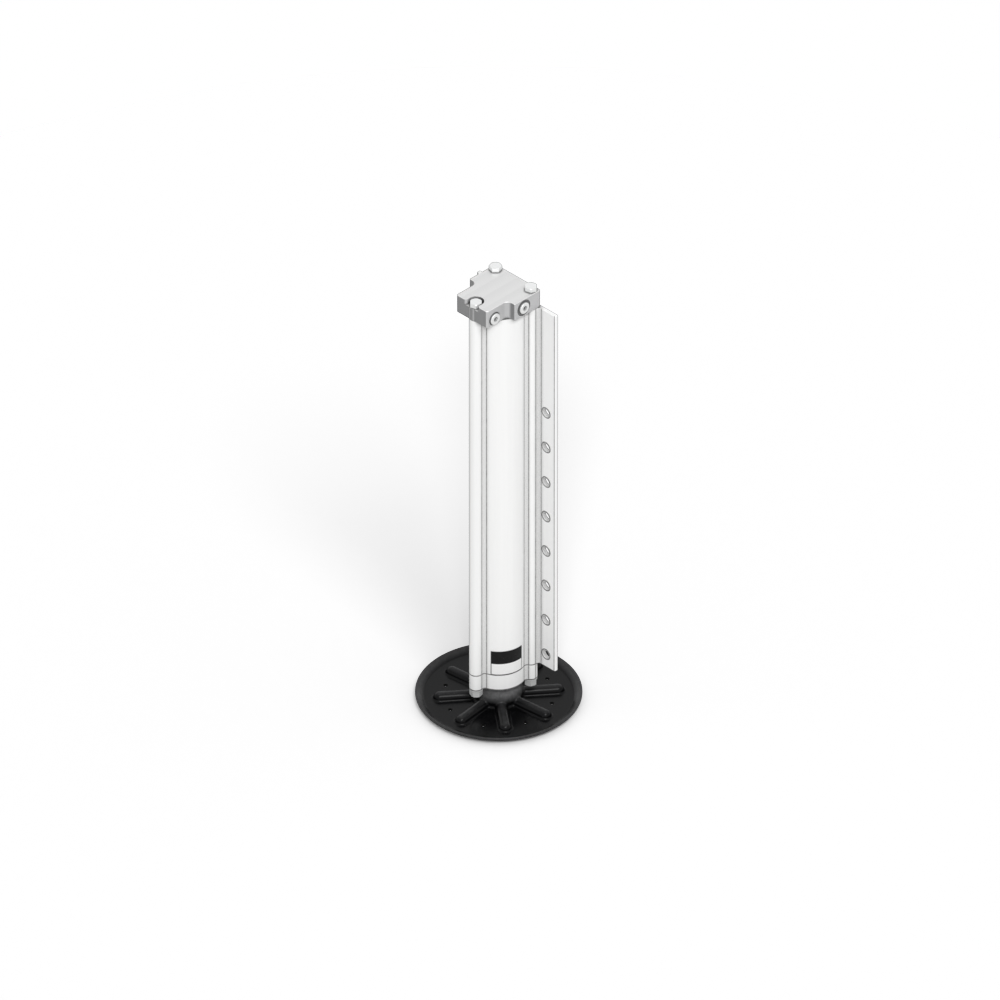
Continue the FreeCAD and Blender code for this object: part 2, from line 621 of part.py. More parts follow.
def ball_liner():
    """Two bronze shells round the ball, apart at its middle, the upper one open for the stud."""
    shell = sphere(liner_outer, ball_z).cut(sphere(liner_inner, ball_z))
    upper_rise = math.sqrt(liner_inner ** 2 - collar_opening ** 2)
    upper = shell.common(cylinder(liner_outer, ball_z + LINER_SPLIT, ball_z + upper_rise))
    lower = shell.common(cylinder(liner_outer, ball_z - upper_rise, ball_z - LINER_SPLIT))
    return Part.makeCompound([upper, lower])


def screw_places():
    angles = [2 * math.pi * (k + 0.5) / SCREW_COUNT for k in range(SCREW_COUNT)]
    return [(screw_circle * math.cos(a), screw_circle * math.sin(a)) for a in angles]


def ball_cup():
    """The turned cup that carries the ball, with a rim that is welded inside the foot's hub."""
    top = ball_z - SPLIT_CLEARANCE
    rim_bottom = HUB_CENTRE_HEIGHT - CUP_RIM_HEIGHT
    rim = cylinder(hub_inner - 2 * RING_CLEARANCE, rim_bottom, HUB_CENTRE_HEIGHT)
    body = cylinder(collar_radius, CUP_GROUND_GAP, top).fuse(rim).cut(sphere(seat_radius, ball_z))
    head_room = SCREW_HEAD_RADIUS + FIT_CLEARANCE
    for x, y in screw_places():
        body = body.cut([
            cylinder(SCREW_RADIUS + FIT_CLEARANCE, CUP_GROUND_GAP, top + THROUGH, x, y),
            cylinder(head_room, CUP_GROUND_GAP - THROUGH, CUP_GROUND_GAP + SCREW_HEAD_HEIGHT, x, y),
        ])
    return body


def ball_collar():
    bottom = ball_z + SPLIT_CLEARANCE
    body = cylinder(collar_radius, bottom, collar_top_z).cut(sphere(seat_radius, ball_z))
    hole = (SCREW_RADIUS + THREAD_CLEARANCE, bottom - THROUGH, bottom + SCREW_THREAD)
    return body.cut([cylinder(*hole, *place) for place in screw_places()])


def collar_screws():
    head_top = CUP_GROUND_GAP + SCREW_HEAD_HEIGHT
    tip = ball_z + SCREW_THREAD
    screws = []
    for x, y in screw_places():
        head = cylinder(SCREW_HEAD_RADIUS, CUP_GROUND_GAP, head_top, x, y)
        screws.append(head.fuse(cylinder(SCREW_RADIUS, head_top, tip, x, y)))
    return Part.makeCompound(screws)


def foot_form(sheet):
    """A solid under the foot's upper face, or, set in by the sheet, under the face that looks down.

    The section runs from the hub's flat top over its spherical side to the web, and out along the rim.
    """
    hub = hub_outer - sheet
    top_z = hub_top_z - sheet
    web_z = FOOT_SHEET - sheet
    base_fillet = HUB_BASE_FILLET + sheet
    rim_fillet = FOOT_RIM_FILLET + sheet
    top_fillet = max(HUB_TOP_FILLET - sheet, 0.0)
    rim_slope = math.atan2(FOOT_RIM_RISE, FOOT_RIM_WIDTH)
    floor_z = web_z - 2 * FOOT_SHEET

    fillet_z = web_z + base_fillet
    fillet_r = math.sqrt((hub + base_fillet) ** 2 - (fillet_z - HUB_CENTRE_HEIGHT) ** 2)
    side_low_r = fillet_r * hub / (hub + base_fillet)
    side_low_z = HUB_CENTRE_HEIGHT + (fillet_z - HUB_CENTRE_HEIGHT) * hub / (hub + base_fillet)
    fillet_mid = math.pi + (math.atan2(fillet_z - HUB_CENTRE_HEIGHT, fillet_r) + math.pi / 2) / 2

    round_z = top_z - top_fillet
    round_r = math.sqrt((hub - top_fillet) ** 2 - (round_z - HUB_CENTRE_HEIGHT) ** 2)
    side_angle = math.atan2(round_z - HUB_CENTRE_HEIGHT, round_r)
    side_high_r = hub * math.cos(side_angle)
    side_high_z = HUB_CENTRE_HEIGHT + hub * math.sin(side_angle)
    round_mid = (side_angle + math.pi / 2) / 2
    low_angle = math.atan2(side_low_z - HUB_CENTRE_HEIGHT, side_low_r)
    side_mid = (side_angle + low_angle) / 2

    bend = rim_fillet * math.tan(rim_slope / 2)
    bend_r = web_radius + sheet * math.tan(rim_slope / 2)
    bend_mid_r = bend_r - bend + rim_fillet * math.sin(rim_slope / 2)
    bend_mid_z = web_z + rim_fillet * (1 - math.cos(rim_slope / 2))
    bend_end_r = bend_r + bend * math.cos(rim_slope)
    bend_end_z = web_z + bend * math.sin(rim_slope)
    rim_r = FOOT_RADIUS + (THROUGH if sheet else 0.0)
    rim_z = web_z + (rim_r - bend_r) * math.tan(rim_slope)

    def at(radius, z):
        return Vector(radius, 0, z)

    def line(start, end):
        return Part.LineSegment(at(*start), at(*end)).toShape()

    def arc(start, middle, end):
        return Part.Arc(at(*start), at(*middle), at(*end)).toShape()

    edges = [line((0, floor_z), (0, top_z)), line((0, top_z), (round_r, top_z))]
    if top_fillet:
        middle = (round_r + top_fillet * math.cos(round_mid), round_z + top_fillet * math.sin(round_mid))
        edges.append(arc((round_r, top_z), middle, (side_high_r, side_high_z)))
    edges += [
        arc((side_high_r, side_high_z),
            (hub * math.cos(side_mid), HUB_CENTRE_HEIGHT + hub * math.sin(side_mid)),
            (side_low_r, side_low_z)),
        arc((side_low_r, side_low_z),
            (fillet_r + base_fillet * math.cos(fillet_mid), fillet_z + base_fillet * math.sin(fillet_mid)),
            (fillet_r, web_z)),
        line((fillet_r, web_z), (bend_r - bend, web_z)),
        arc((bend_r - bend, web_z), (bend_mid_r, bend_mid_z), (bend_end_r, bend_end_z)),
        line((bend_end_r, bend_end_z), (rim_r, rim_z)),
        line((rim_r, rim_z), (rim_r, floor_z)),
        line((rim_r, floor_z), (0, floor_z)),
    ]
    return revolve(edges)


def rib_form(sheet, index):
    """One half-round rib with a domed outer end, or the straight-sided hollow pressed up under it."""
    radius = RIB_CROWN_RADIUS - sheet
    axis_z = FOOT_SHEET + RIB_AXIS_RISE
    end = RIB_END_RADIUS - RIB_CROWN_RADIUS
    start = hub_inner - RIB_CROWN_RADIUS
    length = end - start
    rib = Part.makeCylinder(radius, length, Vector(start, 0, axis_z), Vector(1, 0, 0))
    rib = rib.fuse(Part.makeSphere(radius, Vector(end, 0, axis_z)))
    if sheet:
        depth = axis_z + THROUGH
        mouth = Part.makeBox(length, 2 * radius, depth, Vector(start, -radius, -THROUGH))
        rib = rib.fuse([mouth, cylinder(radius, -THROUGH, axis_z, end, 0)])
    rib = rib.removeSplitter()
    rib.rotate(Vector(0, 0, 0), Vector(0, 0, 1), RIB_ANGLE + index * rib_pitch)
    return rib


def rib_seams(body):
    """The edges where the ribs' round crowns run into the rest of the pressing."""
    def is_rib(face):
        surface = face.Surface
        if not isinstance(surface, (Part.Cylinder, Part.Sphere)):
            return False
        return abs(surface.Radius - RIB_CROWN_RADIUS) < TOLERANCE

    seams = []
    for edge in body.Edges:
        faces = body.ancestorsOfType(edge, Part.Face)
        above = edge.BoundBox.ZMax > FOOT_SHEET - TOLERANCE
        if above and len(faces) == 2 and is_rib(faces[0]) != is_rib(faces[1]):
            seams.append(edge)
    return seams


def foot_pad():
    """The pressed foot: one sheet with a hub, radial ribs and a raised rim."""
    upper = foot_form(0.0)
    upper = upper.fuse([rib_form(0.0, k) for k in range(RIB_COUNT)])
    upper = upper.makeFillet(RIB_FILLET, rib_seams(upper))
    lower = foot_form(FOOT_SHEET).fuse([rib_form(FOOT_SHEET, k) for k in range(RIB_COUNT)])
    pad = upper.cut(lower)
    cuts = [cylinder(collar_opening, ball_z, hub_top_z + THROUGH)]
    for index in range(RIB_COUNT):
        angle = math.radians(RIB_ANGLE + (index + 0.5) * rib_pitch)
        x, y = FOOT_HOLE_CIRCLE * math.cos(angle), FOOT_HOLE_CIRCLE * math.sin(angle)
        cuts.append(cylinder(FOOT_HOLE_RADIUS, -THROUGH, FOOT_SHEET + THROUGH, x, y))
    pad = pad.cut(cuts)
    boxes = [(edge, edge.BoundBox) for edge in pad.Edges]
    rim = [edge for edge, box in boxes if box.XMax > FOOT_RADIUS - TOLERANCE and box.ZLength < TOLERANCE]
    return pad.makeFillet(FOOT_RIM_EDGE, rim)


pieces = {
    "barrel_extrusion": barrel_extrusion(),
    "top_manifold": top_manifold(),
    "gland_head": gland_head(),
    "rear_tie_bolts": Part.makeCompound([tie_bolt(place, manifold_top_z) for place in rear_lobes]),
    "front_tie_bolt": tie_bolt(front_lobe, recess_floor_z),
    "tie_bolt_washers": tie_bolt_washers(),
    "tie_bolt_nuts": tie_bolt_nuts(),
    "extend_port_plug": port_plug(EXTEND_PORT),
    "retract_port_plug": port_plug(RETRACT_PORT),
    "port_plug_o_rings": port_plug_o_rings(),
    "manifold_o_ring": groove_ring(BORE_RADIUS, manifold_ring_z),
    "transfer_o_rings": transfer_o_rings(),
    "gland_o_ring": groove_ring(BORE_RADIUS, gland_ring_z),
    "rod_guide_bush": rod_ring(BUSH_WALL, gland_top_z - BUSH_LENGTH, gland_top_z),
    "rod_seal": rod_ring(ROD_SEAL_WALL, rod_seal_bottom_z, rod_seal_top_z),
    "rod_wiper": rod_ring(WIPER_WALL, gland_bottom_z, gland_bottom_z + WIPER_HEIGHT),
    "right_decal": decal(1),
    "left_decal": decal(-1),
    "piston_rod": piston_rod(),
    "piston": piston(),
    "piston_seal": piston_ring(PISTON_SEAL_WALL, PISTON_SEAL_RISE, PISTON_SEAL_HEIGHT),
    "piston_wear_ring": piston_ring(WEAR_RING_WALL, WEAR_RING_RISE, WEAR_RING_HEIGHT),
    "piston_o_ring": groove_ring(piston_hole_radius, piston_o_ring_z),
    "piston_nut": piston_nut(),
    "stop_tube": stop_tube(),
    "ball_stud": ball_stud(),
    "ball_liner": ball_liner(),
    "foot_pad": foot_pad(),
    "ball_cup": ball_cup(),
    "ball_collar": ball_collar(),
    "collar_screws": collar_screws(),
}

os.makedirs("parts", exist_ok=True)
for name, shape in pieces.items():
    shape.exportStep("parts/" + name + ".step")
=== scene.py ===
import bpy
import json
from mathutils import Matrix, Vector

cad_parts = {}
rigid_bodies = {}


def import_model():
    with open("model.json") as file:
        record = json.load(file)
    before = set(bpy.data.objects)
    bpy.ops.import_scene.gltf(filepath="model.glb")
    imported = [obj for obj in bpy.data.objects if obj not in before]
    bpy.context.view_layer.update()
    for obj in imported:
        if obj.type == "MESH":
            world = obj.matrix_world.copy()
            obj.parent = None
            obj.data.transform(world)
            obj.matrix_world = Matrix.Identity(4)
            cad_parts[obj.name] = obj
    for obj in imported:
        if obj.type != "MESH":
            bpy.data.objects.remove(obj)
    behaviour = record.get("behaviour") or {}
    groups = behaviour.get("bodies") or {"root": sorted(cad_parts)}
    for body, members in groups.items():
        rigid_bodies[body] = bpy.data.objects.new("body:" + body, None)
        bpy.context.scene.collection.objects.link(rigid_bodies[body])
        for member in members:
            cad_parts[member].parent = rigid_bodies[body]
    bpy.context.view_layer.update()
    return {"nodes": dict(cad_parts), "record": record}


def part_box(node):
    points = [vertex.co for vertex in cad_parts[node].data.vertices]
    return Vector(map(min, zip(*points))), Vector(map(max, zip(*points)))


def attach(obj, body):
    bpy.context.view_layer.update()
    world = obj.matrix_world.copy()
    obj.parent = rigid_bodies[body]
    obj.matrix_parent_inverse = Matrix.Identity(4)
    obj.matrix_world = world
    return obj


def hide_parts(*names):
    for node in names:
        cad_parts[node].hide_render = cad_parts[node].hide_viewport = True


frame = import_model()

import json
import math

import bmesh
import bpy
from mathutils import Vector

bl_info = {
    "name": "Leveling Jack Finishes",
    "version": (1, 0, 0),
    "blender": (4, 5, 0),
    "location": "View3D > Sidebar > Jack",
    "description": "Gives a hydraulic leveling jack its finishes and its studio",
    "category": "Object",
}

MM = 0.001
NODES = frame["nodes"]

# The camera looks down at the jack in isometric view, from the side with the plugs.
# The view's width and centre are in metres, and the sensor is in millimetres.
VIEW_AZIMUTH = math.radians(45)
VIEW_ELEVATION = math.atan(math.sqrt(0.5))
VIEW_WIDTH = 1.8034
VIEW_CENTRE = Vector((0.0016, 0.0016, 0.4351))
SENSOR = 36.0

# The lamps' places and widths, in metres. The front lamp throws its shadow behind the jack, out of sight.
KEY_PLACE = (3.3, -1.5, 5.2)
KEY_WIDTH = 2.0
FRONT_PLACE = (3.1, -3.1, 4.8)
FRONT_WIDTH = 0.8

# The floor lies this far under the foot, so that the two faces don't fight.
FLOOR_GAP = 0.2 * MM

# Each plug's shank is this long, and each port's thread runs between these depths under its spot face.
PLUG_SHANK = 12 * MM
THREAD_START = 5.2 * MM
THREAD_END = 15.5 * MM
PORT_RADIUS = 8.65 * MM

# The thread's ridge stands this deep in the port's wall. Its crest and its root reach these shares of the
# pitch to each side of its middle.
RIDGE_SINK = 0.05 * MM
RIDGE_CREST = 0.06
RIDGE_ROOT = 0.42

# The spot faces are cut to these radii round the extend ports and the retract ports.
SPOT_RADII = {"extend_port_plug": 16 * MM, "retract_port_plug": 12.8 * MM}

# The painted shade of the recessed spot faces reaches this far past their edge.
SPOT_SHADE_MARGIN = 0.3 * MM

# The decals lie at this angle on the barrel, each side of the middle plane, and are pale up to this share
# of their height.
FILM_ANGLE = math.radians(-26)
FILM_SPLIT = 0.47

# The screws under the ball's cup.
SCREW_HEAD = 4.9 * MM
SCREW_HEAD_HEIGHT = 6 * MM
SCREW_SHANK = 3 * MM
SCREW_EDGE = 0.4 * MM

# The barrel's section: its round, the lobes round its tie bolts, its flange and the fillets between them.
BARREL_RADIUS = 50.5 * MM
LOBE_RADIUS = 12.4 * MM
SECTION_FILLET = 7 * MM
FLANGE_THICKNESS = 7.9 * MM
FLANGE_EDGE_FILLET = 2.4 * MM

# The foot's raised rim is this wide. Its coat is worn paler between these heights, from not at all to fully,
# and by this share on the rim; the paler tone is also a painted sheen on these high places.
RIM_WIDTH = 15 * MM
WEAR_SHEEN_START = 14 * MM
WEAR_SHEEN_FULL = 38 * MM
RIM_WEAR_SHEEN = 0.22

# The weld that holds the ball's cup in the foot runs round the cup's rim. Its bead swells by this share.
WELD_INSET = 0.2 * MM
WELD_HEIGHT = 7.6 * MM
WELD_RIPPLE = 0.12

# Marks in the paint are this share of grime, and die lines this.
MARK_GRIME = 0.95
LINE_GRIME = 0.85

# The extrusion's streaks are drawn long, and marks from the lathe or the grinder run round an upright axis.
EXTRUDED = (1, 1, 0.02)
TURNED = (1, 1, 6)

# The middle of the milling cutter's arcs lies this far off the manifold's axis.
CUTTER_SHIFT = (90 * MM, 160 * MM, 0)

# The relief that the finishes give to a surface is this deep.
PEEL_DEPTH = 0.3 * MM
MILL_DEPTH = 0.2 * MM
GRAIN_DEPTH = 0.1 * MM
RIPPLE_DEPTH = 0.2 * MM

# Faces that meet at more than this angle have a sharp edge.
SHARP_ANGLE = math.radians(35)


def linear(code):
    """An sRGB hex code as linear red, green and blue."""
    channels = [int(code[start:start + 2], 16) / 255 for start in (1, 3, 5)]
    return [c / 12.92 if c <= 0.04045 else ((c + 0.055) / 1.055) ** 2.4 for c in channels]


def colour(name, description, code):
    """A colour that a user can change, with its default as a hex code."""
    return bpy.props.FloatVectorProperty(
        name=name, description=description, subtype="COLOR", size=3, min=0, max=1, default=linear(code))


def length(name, description, millimetres):
    """A length that a user can change, with its default in millimetres."""
    return bpy.props.FloatProperty(
        name=name, description=description, subtype="DISTANCE", unit="LENGTH", min=0,
        default=millimetres * MM)


def power(name, description, watts):
    """A lamp's power that a user can change."""
    return bpy.props.FloatProperty(
        name=name, description=description, subtype="POWER", unit="POWER", min=0, default=watts)


class JackColours(bpy.types.PropertyGroup):
    """Colours of the jack's finishes"""
    barrel_paint: colour("Barrel paint", "White powder coat on the barrel and the gland head", "#F5F5F5")
    # Grime is also the colour of the painted shade in grooves, holes, corners and between parts.
    grime_and_shade: colour("Grime", "Dust and oil that gather in grooves, corners and joints", "#3E3E3D")
    # The milled top is lighter and the sawn ends darker partly as painted light and shade, by which way a
    # face points.
    lit_machined_top: colour("Machined aluminium", "Milled top and edges of the manifold", "#DCDCDC")
    blasted: colour("Blasted aluminium", "Blasted sides of the manifold", "#C4C4C5")
    shaded_sawn_ends: colour("Sawn aluminium", "Sawn ends of the manifold", "#8C8C8D")
    spot_face_shade: colour("Oiled aluminium", "Spot faces and ports of the manifold, dark with old oil", "#7C7C7D")
    # The dark tone of the spot faces and the ports is painted shade in these recesses.
    zinc: colour("Zinc", "Zinc flake coat on bolts, nuts, washers and plugs", "#ECEDED")
    foot_coat: colour("Foot coat", "Black coat on the pressed foot", "#070708")
    # The foot's paler high places are worn coat and also a painted sheen in place of highlights.
    foot_wear_and_sheen: colour("Foot wear", "Rubbed coat on the foot's high places", "#7C7C7D")
    chrome: colour("Chrome", "Hard chrome on the rod", "#CDD0D3")
    steel: colour("Turned steel", "Turned steel of the ball joint and the stop tube", "#A3A3A2")
    bronze: colour("Bronze", "Bronze of the bush, the wear ring and the ball's liner", "#B58A4C")
    iron: colour("Cast iron", "Cast iron of the piston", "#4E4E4F")
    rubber: colour("Rubber", "Seals and sealing rings", "#1C1C1D")
    film_dark: colour("Film, dark half", "Upper half of the decal film", "#0F0F10")
    film_pale: colour("Film, pale half", "Lower half of the decal film", "#F1F1F1")


class JackSizes(bpy.types.PropertyGroup):
    """Sizes of the finishes' patterns and of the small pieces"""
    orange_peel: length("Orange peel", "Width of the coats' ripples", 3.0)
    streak: length("Streak", "Width of the faint streaks along the extruded barrel", 9.0)
    # The next reach is how far painted shade spreads out of a groove in the barrel.
    groove_shade_reach: length("Dust reach", "How far dust reaches out of a groove in the barrel", 14.0)
    # The next reach is how far painted shade spreads out of a corner of bare metal.
    corner_shade_reach: length("Oil reach", "How far grime reaches out of a corner of bare metal", 5.0)
    # Real mill marks are 0.3 mm apart and real dents from grit 0.2 mm wide, so both are drawn coarser.
    mill_marks: length("Mill marks", "Distance between the cutter's marks on the milled top", 5.0)
    mill_pass: length("Mill pass", "Width of one pass of the cutter over the top", 26.0)
    blast_grit: length("Blast grit", "Width of the dents on the blasted sides", 1.4)
    mottle: length("Mottle", "Width of the faint patches on the blasted and sawn faces", 18.0)
    # Real flakes and grinding marks are under 0.1 mm, so these grains are drawn coarser to show.
    flake_grain: length("Flake grain", "Width of the mottle on the zinc flake coat", 0.8)
    grind_grain: length("Grinding grain", "Width of the marks on the ground and turned steel", 1.5)
    cast_grain: length("Casting grain", "Width of the grain on the cast piston", 2.5)
    bloom: length("Bloom", "Width of the bloom on the rubber", 4.0)
    rub_ring: length("Rub ring", "Width of the ring that bolts rub into the paint round a flange hole", 3.2)
    seam: length("Seam", "Width of the dirt along the joint of the barrel and the gland head", 2.8)
    # Real die lines are hairlines, so they are drawn wider to show.
    die_line: length("Die line", "Width of the lines that the die leaves at each end of a fillet", 2.3)
    mark_patch: length("Mark patch", "Width of the patches in which such marks are fainter", 5.0)
    coat_cloud: length("Coat cloud", "Width of the foot coat's faint clouds", 30.0)
    scuff: length("Scuff", "Width of the scuffs on the foot's high places", 7.0)
    film_ripple: length("Film ripple", "Width of the decal film's ripples", 12.0)
    film_border: length("Film border", "Width of the dark line round the pale half of the decal", 1.1)
    port_pitch: length("Port thread pitch", "Distance between the turns of the open ports' threads", 1.6)
    port_crest: length("Port thread height", "Height of the open ports' threads", 0.8)
    socket_flats: length("Screw socket", "Width across the flats of the screws' sockets", 5.0)
    socket_depth: length("Screw socket depth", "Depth of the screws' sockets", 3.0)
    weld_bead: length("Weld bead", "Radius of the weld round the ball's cup", 2.0)
    weld_step: length("Weld step", "Distance between the weld's ripples", 2.8)


class JackStage(bpy.types.PropertyGroup):
    """The floor, the camera's lens and the light"""
    floor: colour("Floor", "Pale floor under the jack", "#DEDEDC")
    floor_radius: length("Floor radius", "Radius of the floor under the jack", 2000)
    lens: bpy.props.FloatProperty(
        name="Lens", description="Focal length, long enough for parallel edges to stay parallel",
        subtype="DISTANCE_CAMERA", unit="CAMERA", default=1500)
    ambient: bpy.props.FloatProperty(
        name="Ambient", description="Level of the light from all round", subtype="FACTOR", min=0, max=1,
        default=0.62)
    key: power("Key", "Power of the large light high to the right of the camera", 105)
    front: power("Front", "Power of the small light over the camera, for highlights on the foot", 92)


def add(tree, kind, inputs=None, **settings):
    """Adds a node with its settings; an input is a value or another node's output."""
    node = tree.nodes.new(kind)
    for name, value in settings.items():
        setattr(node, name, value)
    for name, value in (inputs or {}).items():
        if isinstance(value, bpy.types.NodeSocket):
            tree.links.new(value, node.inputs[name])
        else:
            node.inputs[name].default_value = value
    return node


def opaque(rgb):
    """A colour with full alpha, as a node's socket takes it."""
    return (*rgb, 1.0)


def per_metre(size):
    """The scale of a noise whose marks have this size."""
    return 1.0 / size


def waves_per_metre(size):
    """The scale of a wave whose crests have this distance."""
    return math.pi / (10 * size)


def new_material(name, constants=None):
    """A material with one shader, with the values that are the same all over set on its sockets."""
    material = bpy.data.materials.new(name)
    material.use_nodes = True
    tree = material.node_tree
    shader = tree.nodes["Principled BSDF"]
    for socket, value in (constants or {}).items():
        shader.inputs[socket].default_value = value
    return material, tree, shader


def painted_shade_and_grime(tree, rgb, reach, shade_from, shade_full, marks=None):
    """A colour with grime mixed in at marks, and darkened in hollows as painted shade.

    The painted shade starts where less of the surround is open than the starting share, and is full at the
    full share.
    """
    # Ambient occlusion darkens the hollows: this is painted shade, not grime.
    hollow_shade = add(tree, "ShaderNodeAmbientOcclusion", {"Distance": reach}, samples=8)
    grime_and_shade = add(tree, "ShaderNodeMapRange", {
        "Value": hollow_shade.outputs["AO"], "From Min": shade_from, "From Max": shade_full, "To Min": 0.0, "To Max": 0.85})
    if marks is not None:
        grime_and_shade = add(tree, "ShaderNodeMath", {0: grime_and_shade.outputs[0], 1: marks}, operation="MAXIMUM")
    # The grime colour also serves as the colour of the painted shade.
    dirt = opaque(bpy.context.scene.jack_colours.grime_and_shade)
    return add(tree, "ShaderNodeMix", {0: grime_and_shade.outputs[0], 6: rgb, 7: dirt}, data_type="RGBA").outputs[2]


def fillet_ends():
    """Where the fillets of the barrel's section end, on its +X side, as points in plan."""
    gland_low, gland_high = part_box("gland_head")
    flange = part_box("barrel_extrusion")[1]
    flange_front = flange.y - FLANGE_THICKNESS
    front_lobe = Vector((0, gland_low.y + LOBE_RADIUS))
    rear_x = gland_high.x - LOBE_RADIUS
    rear_lobe = Vector((rear_x, math.sqrt(front_lobe.length ** 2 - rear_x ** 2)))
    reach = BARREL_RADIUS + SECTION_FILLET
    lobe_reach = LOBE_RADIUS + SECTION_FILLET
    ends = []
    for lobe, side in ((front_lobe, 1), (rear_lobe, -1)):
        cosine = (reach ** 2 + lobe.length ** 2 - lobe_reach ** 2) / (2 * reach * lobe.length)
        turn = math.atan2(lobe.y, lobe.x) + side * math.acos(cosine)
        outward = Vector((math.cos(turn), math.sin(turn)))
        ends.append(outward * BARREL_RADIUS)
        ends.append(lobe + (outward * reach - lobe).normalized() * LOBE_RADIUS)
    rise = flange_front - SECTION_FILLET - rear_lobe.y
    to_flange = Vector((math.sqrt(lobe_reach ** 2 - rise ** 2), rise))
    ends.append(rear_lobe + to_flange.normalized() * LOBE_RADIUS)
    ends.append(Vector((rear_lobe.x + to_flange.x, flange_front)))
    ends.append(Vector((flange.x - FLANGE_EDGE_FILLET, flange_front)))
    return ends


def off_rub_ring(tree, spot, outward):
    """How far a point lies off the rub ring of the nearest flange hole, and a mask of the rows of holes."""
    mounts = {mount["name"]: mount for mount in frame["record"]["mounts"]}
    inner = mounts["flange_holes_inner"]
    outer = mounts["flange_holes_outer"]
    row_x = inner["dims"]["spacing_x_mm"] / 2 * MM
    pitch = inner["dims"]["spacing_y_mm"] * MM
    rows_end = outer["dims"]["spacing_y_mm"] / 2 * MM + pitch / 2
    ring_middle = inner["dims"]["hole_r_mm"] * MM + bpy.context.scene.jack_sizes.rub_ring / 2
    across = add(tree, "ShaderNodeMath", {0: outward, 1: row_x}, operation="SUBTRACT")
    height = add(tree, "ShaderNodeMath", {0: spot["Z"], 1: inner["pos_m"][2]}, operation="SUBTRACT")
    step = add(tree, "ShaderNodeMath", {0: height.outputs[0], 1: pitch, 2: 0.0}, operation="WRAP")
    along = add(tree, "ShaderNodeMath", {0: step.outputs[0], 1: pitch / 2}, operation="SUBTRACT")
    offset = add(tree, "ShaderNodeCombineXYZ", {"X": across.outputs[0], "Y": along.outputs[0]})
    away = add(tree, "ShaderNodeVectorMath", {0: offset.outputs[0]}, operation="LENGTH")
    off_ring = add(tree, "ShaderNodeMath", {0: away.outputs["Value"], 1: ring_middle}, operation="SUBTRACT")
    level = add(tree, "ShaderNodeMath", {0: height.outputs[0]}, operation="ABSOLUTE")
    in_rows = add(tree, "ShaderNodeMath", {0: level.outputs[0], 1: rows_end}, operation="LESS_THAN")
    return off_ring.outputs[0], in_rows.outputs[0]


def off_fillet_end(tree, spot, outward):
    """How far a point lies, in plan, off the nearest end of a fillet."""
    plan = add(tree, "ShaderNodeCombineXYZ", {"X": outward, "Y": spot["Y"]})
    nearest = None
    for end in fillet_ends():
        away = add(tree, "ShaderNodeVectorMath", {0: plan.outputs[0], 1: (*end, 0)}, operation="DISTANCE")
        gap = away.outputs["Value"]
        if nearest is not None:
            gap = add(tree, "ShaderNodeMath", {0: gap, 1: nearest}, operation="MINIMUM").outputs[0]
        nearest = gap
    return nearest


def paint_marks(tree, place):
    """A mask of marks in the paint.

    They are rings that bolts rub round the flange's holes, dirt along the seam over the gland head and along
    its lower edge, and lines along the ends of the section's fillets.
    """
    sizes = bpy.context.scene.jack_sizes
    spot = add(tree, "ShaderNodeSeparateXYZ", {0: place}).outputs
    outward = add(tree, "ShaderNodeMath", {0: spot["X"]}, operation="ABSOLUTE").outputs[0]
    off_ring, in_rows = off_rub_ring(tree, spot, outward)
    places = [(off_ring, sizes.rub_ring, MARK_GRIME)]
    for height in (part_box("barrel_extrusion")[0].z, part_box("gland_head")[0].z + sizes.seam / 2):
        off_line = add(tree, "ShaderNodeMath", {0: spot["Z"], 1: height}, operation="SUBTRACT")
        places.append((off_line.outputs[0], sizes.seam, MARK_GRIME))
    places.append((off_fillet_end(tree, spot, outward), sizes.die_line, LINE_GRIME))
    marks = []
    # Each mark is full along its middle and fades out towards both edges.
    for off, width, grime_and_shade in places:
        gap = add(tree, "ShaderNodeMath", {0: off}, operation="ABSOLUTE")
        mark = add(tree, "ShaderNodeMapRange", {
            "Value": gap.outputs[0], "From Min": 0.5 * width, "From Max": 0.3 * width, "To Max": grime_and_shade})
        marks.append(mark.outputs[0])
    lines = add(tree, "ShaderNodeMath", {0: marks[0], 1: in_rows}, operation="MULTIPLY")
    for mark in marks[1:]:
        lines = add(tree, "ShaderNodeMath", {0: lines.outputs[0], 1: mark}, operation="MAXIMUM")
    wear = add(tree, "ShaderNodeTexNoise",
               {"Vector": place, "Scale": per_metre(sizes.mark_patch), "Detail": 3})
    patchy = add(tree, "ShaderNodeMapRange", {
        "Value": wear.outputs["Fac"], "From Min": 0.35, "From Max": 0.65, "To Min": 0.78, "To Max": 1.0})
    worn = add(tree, "ShaderNodeMath", {0: lines.outputs[0], 1: patchy.outputs[0]}, operation="MULTIPLY")
    return worn.outputs[0]


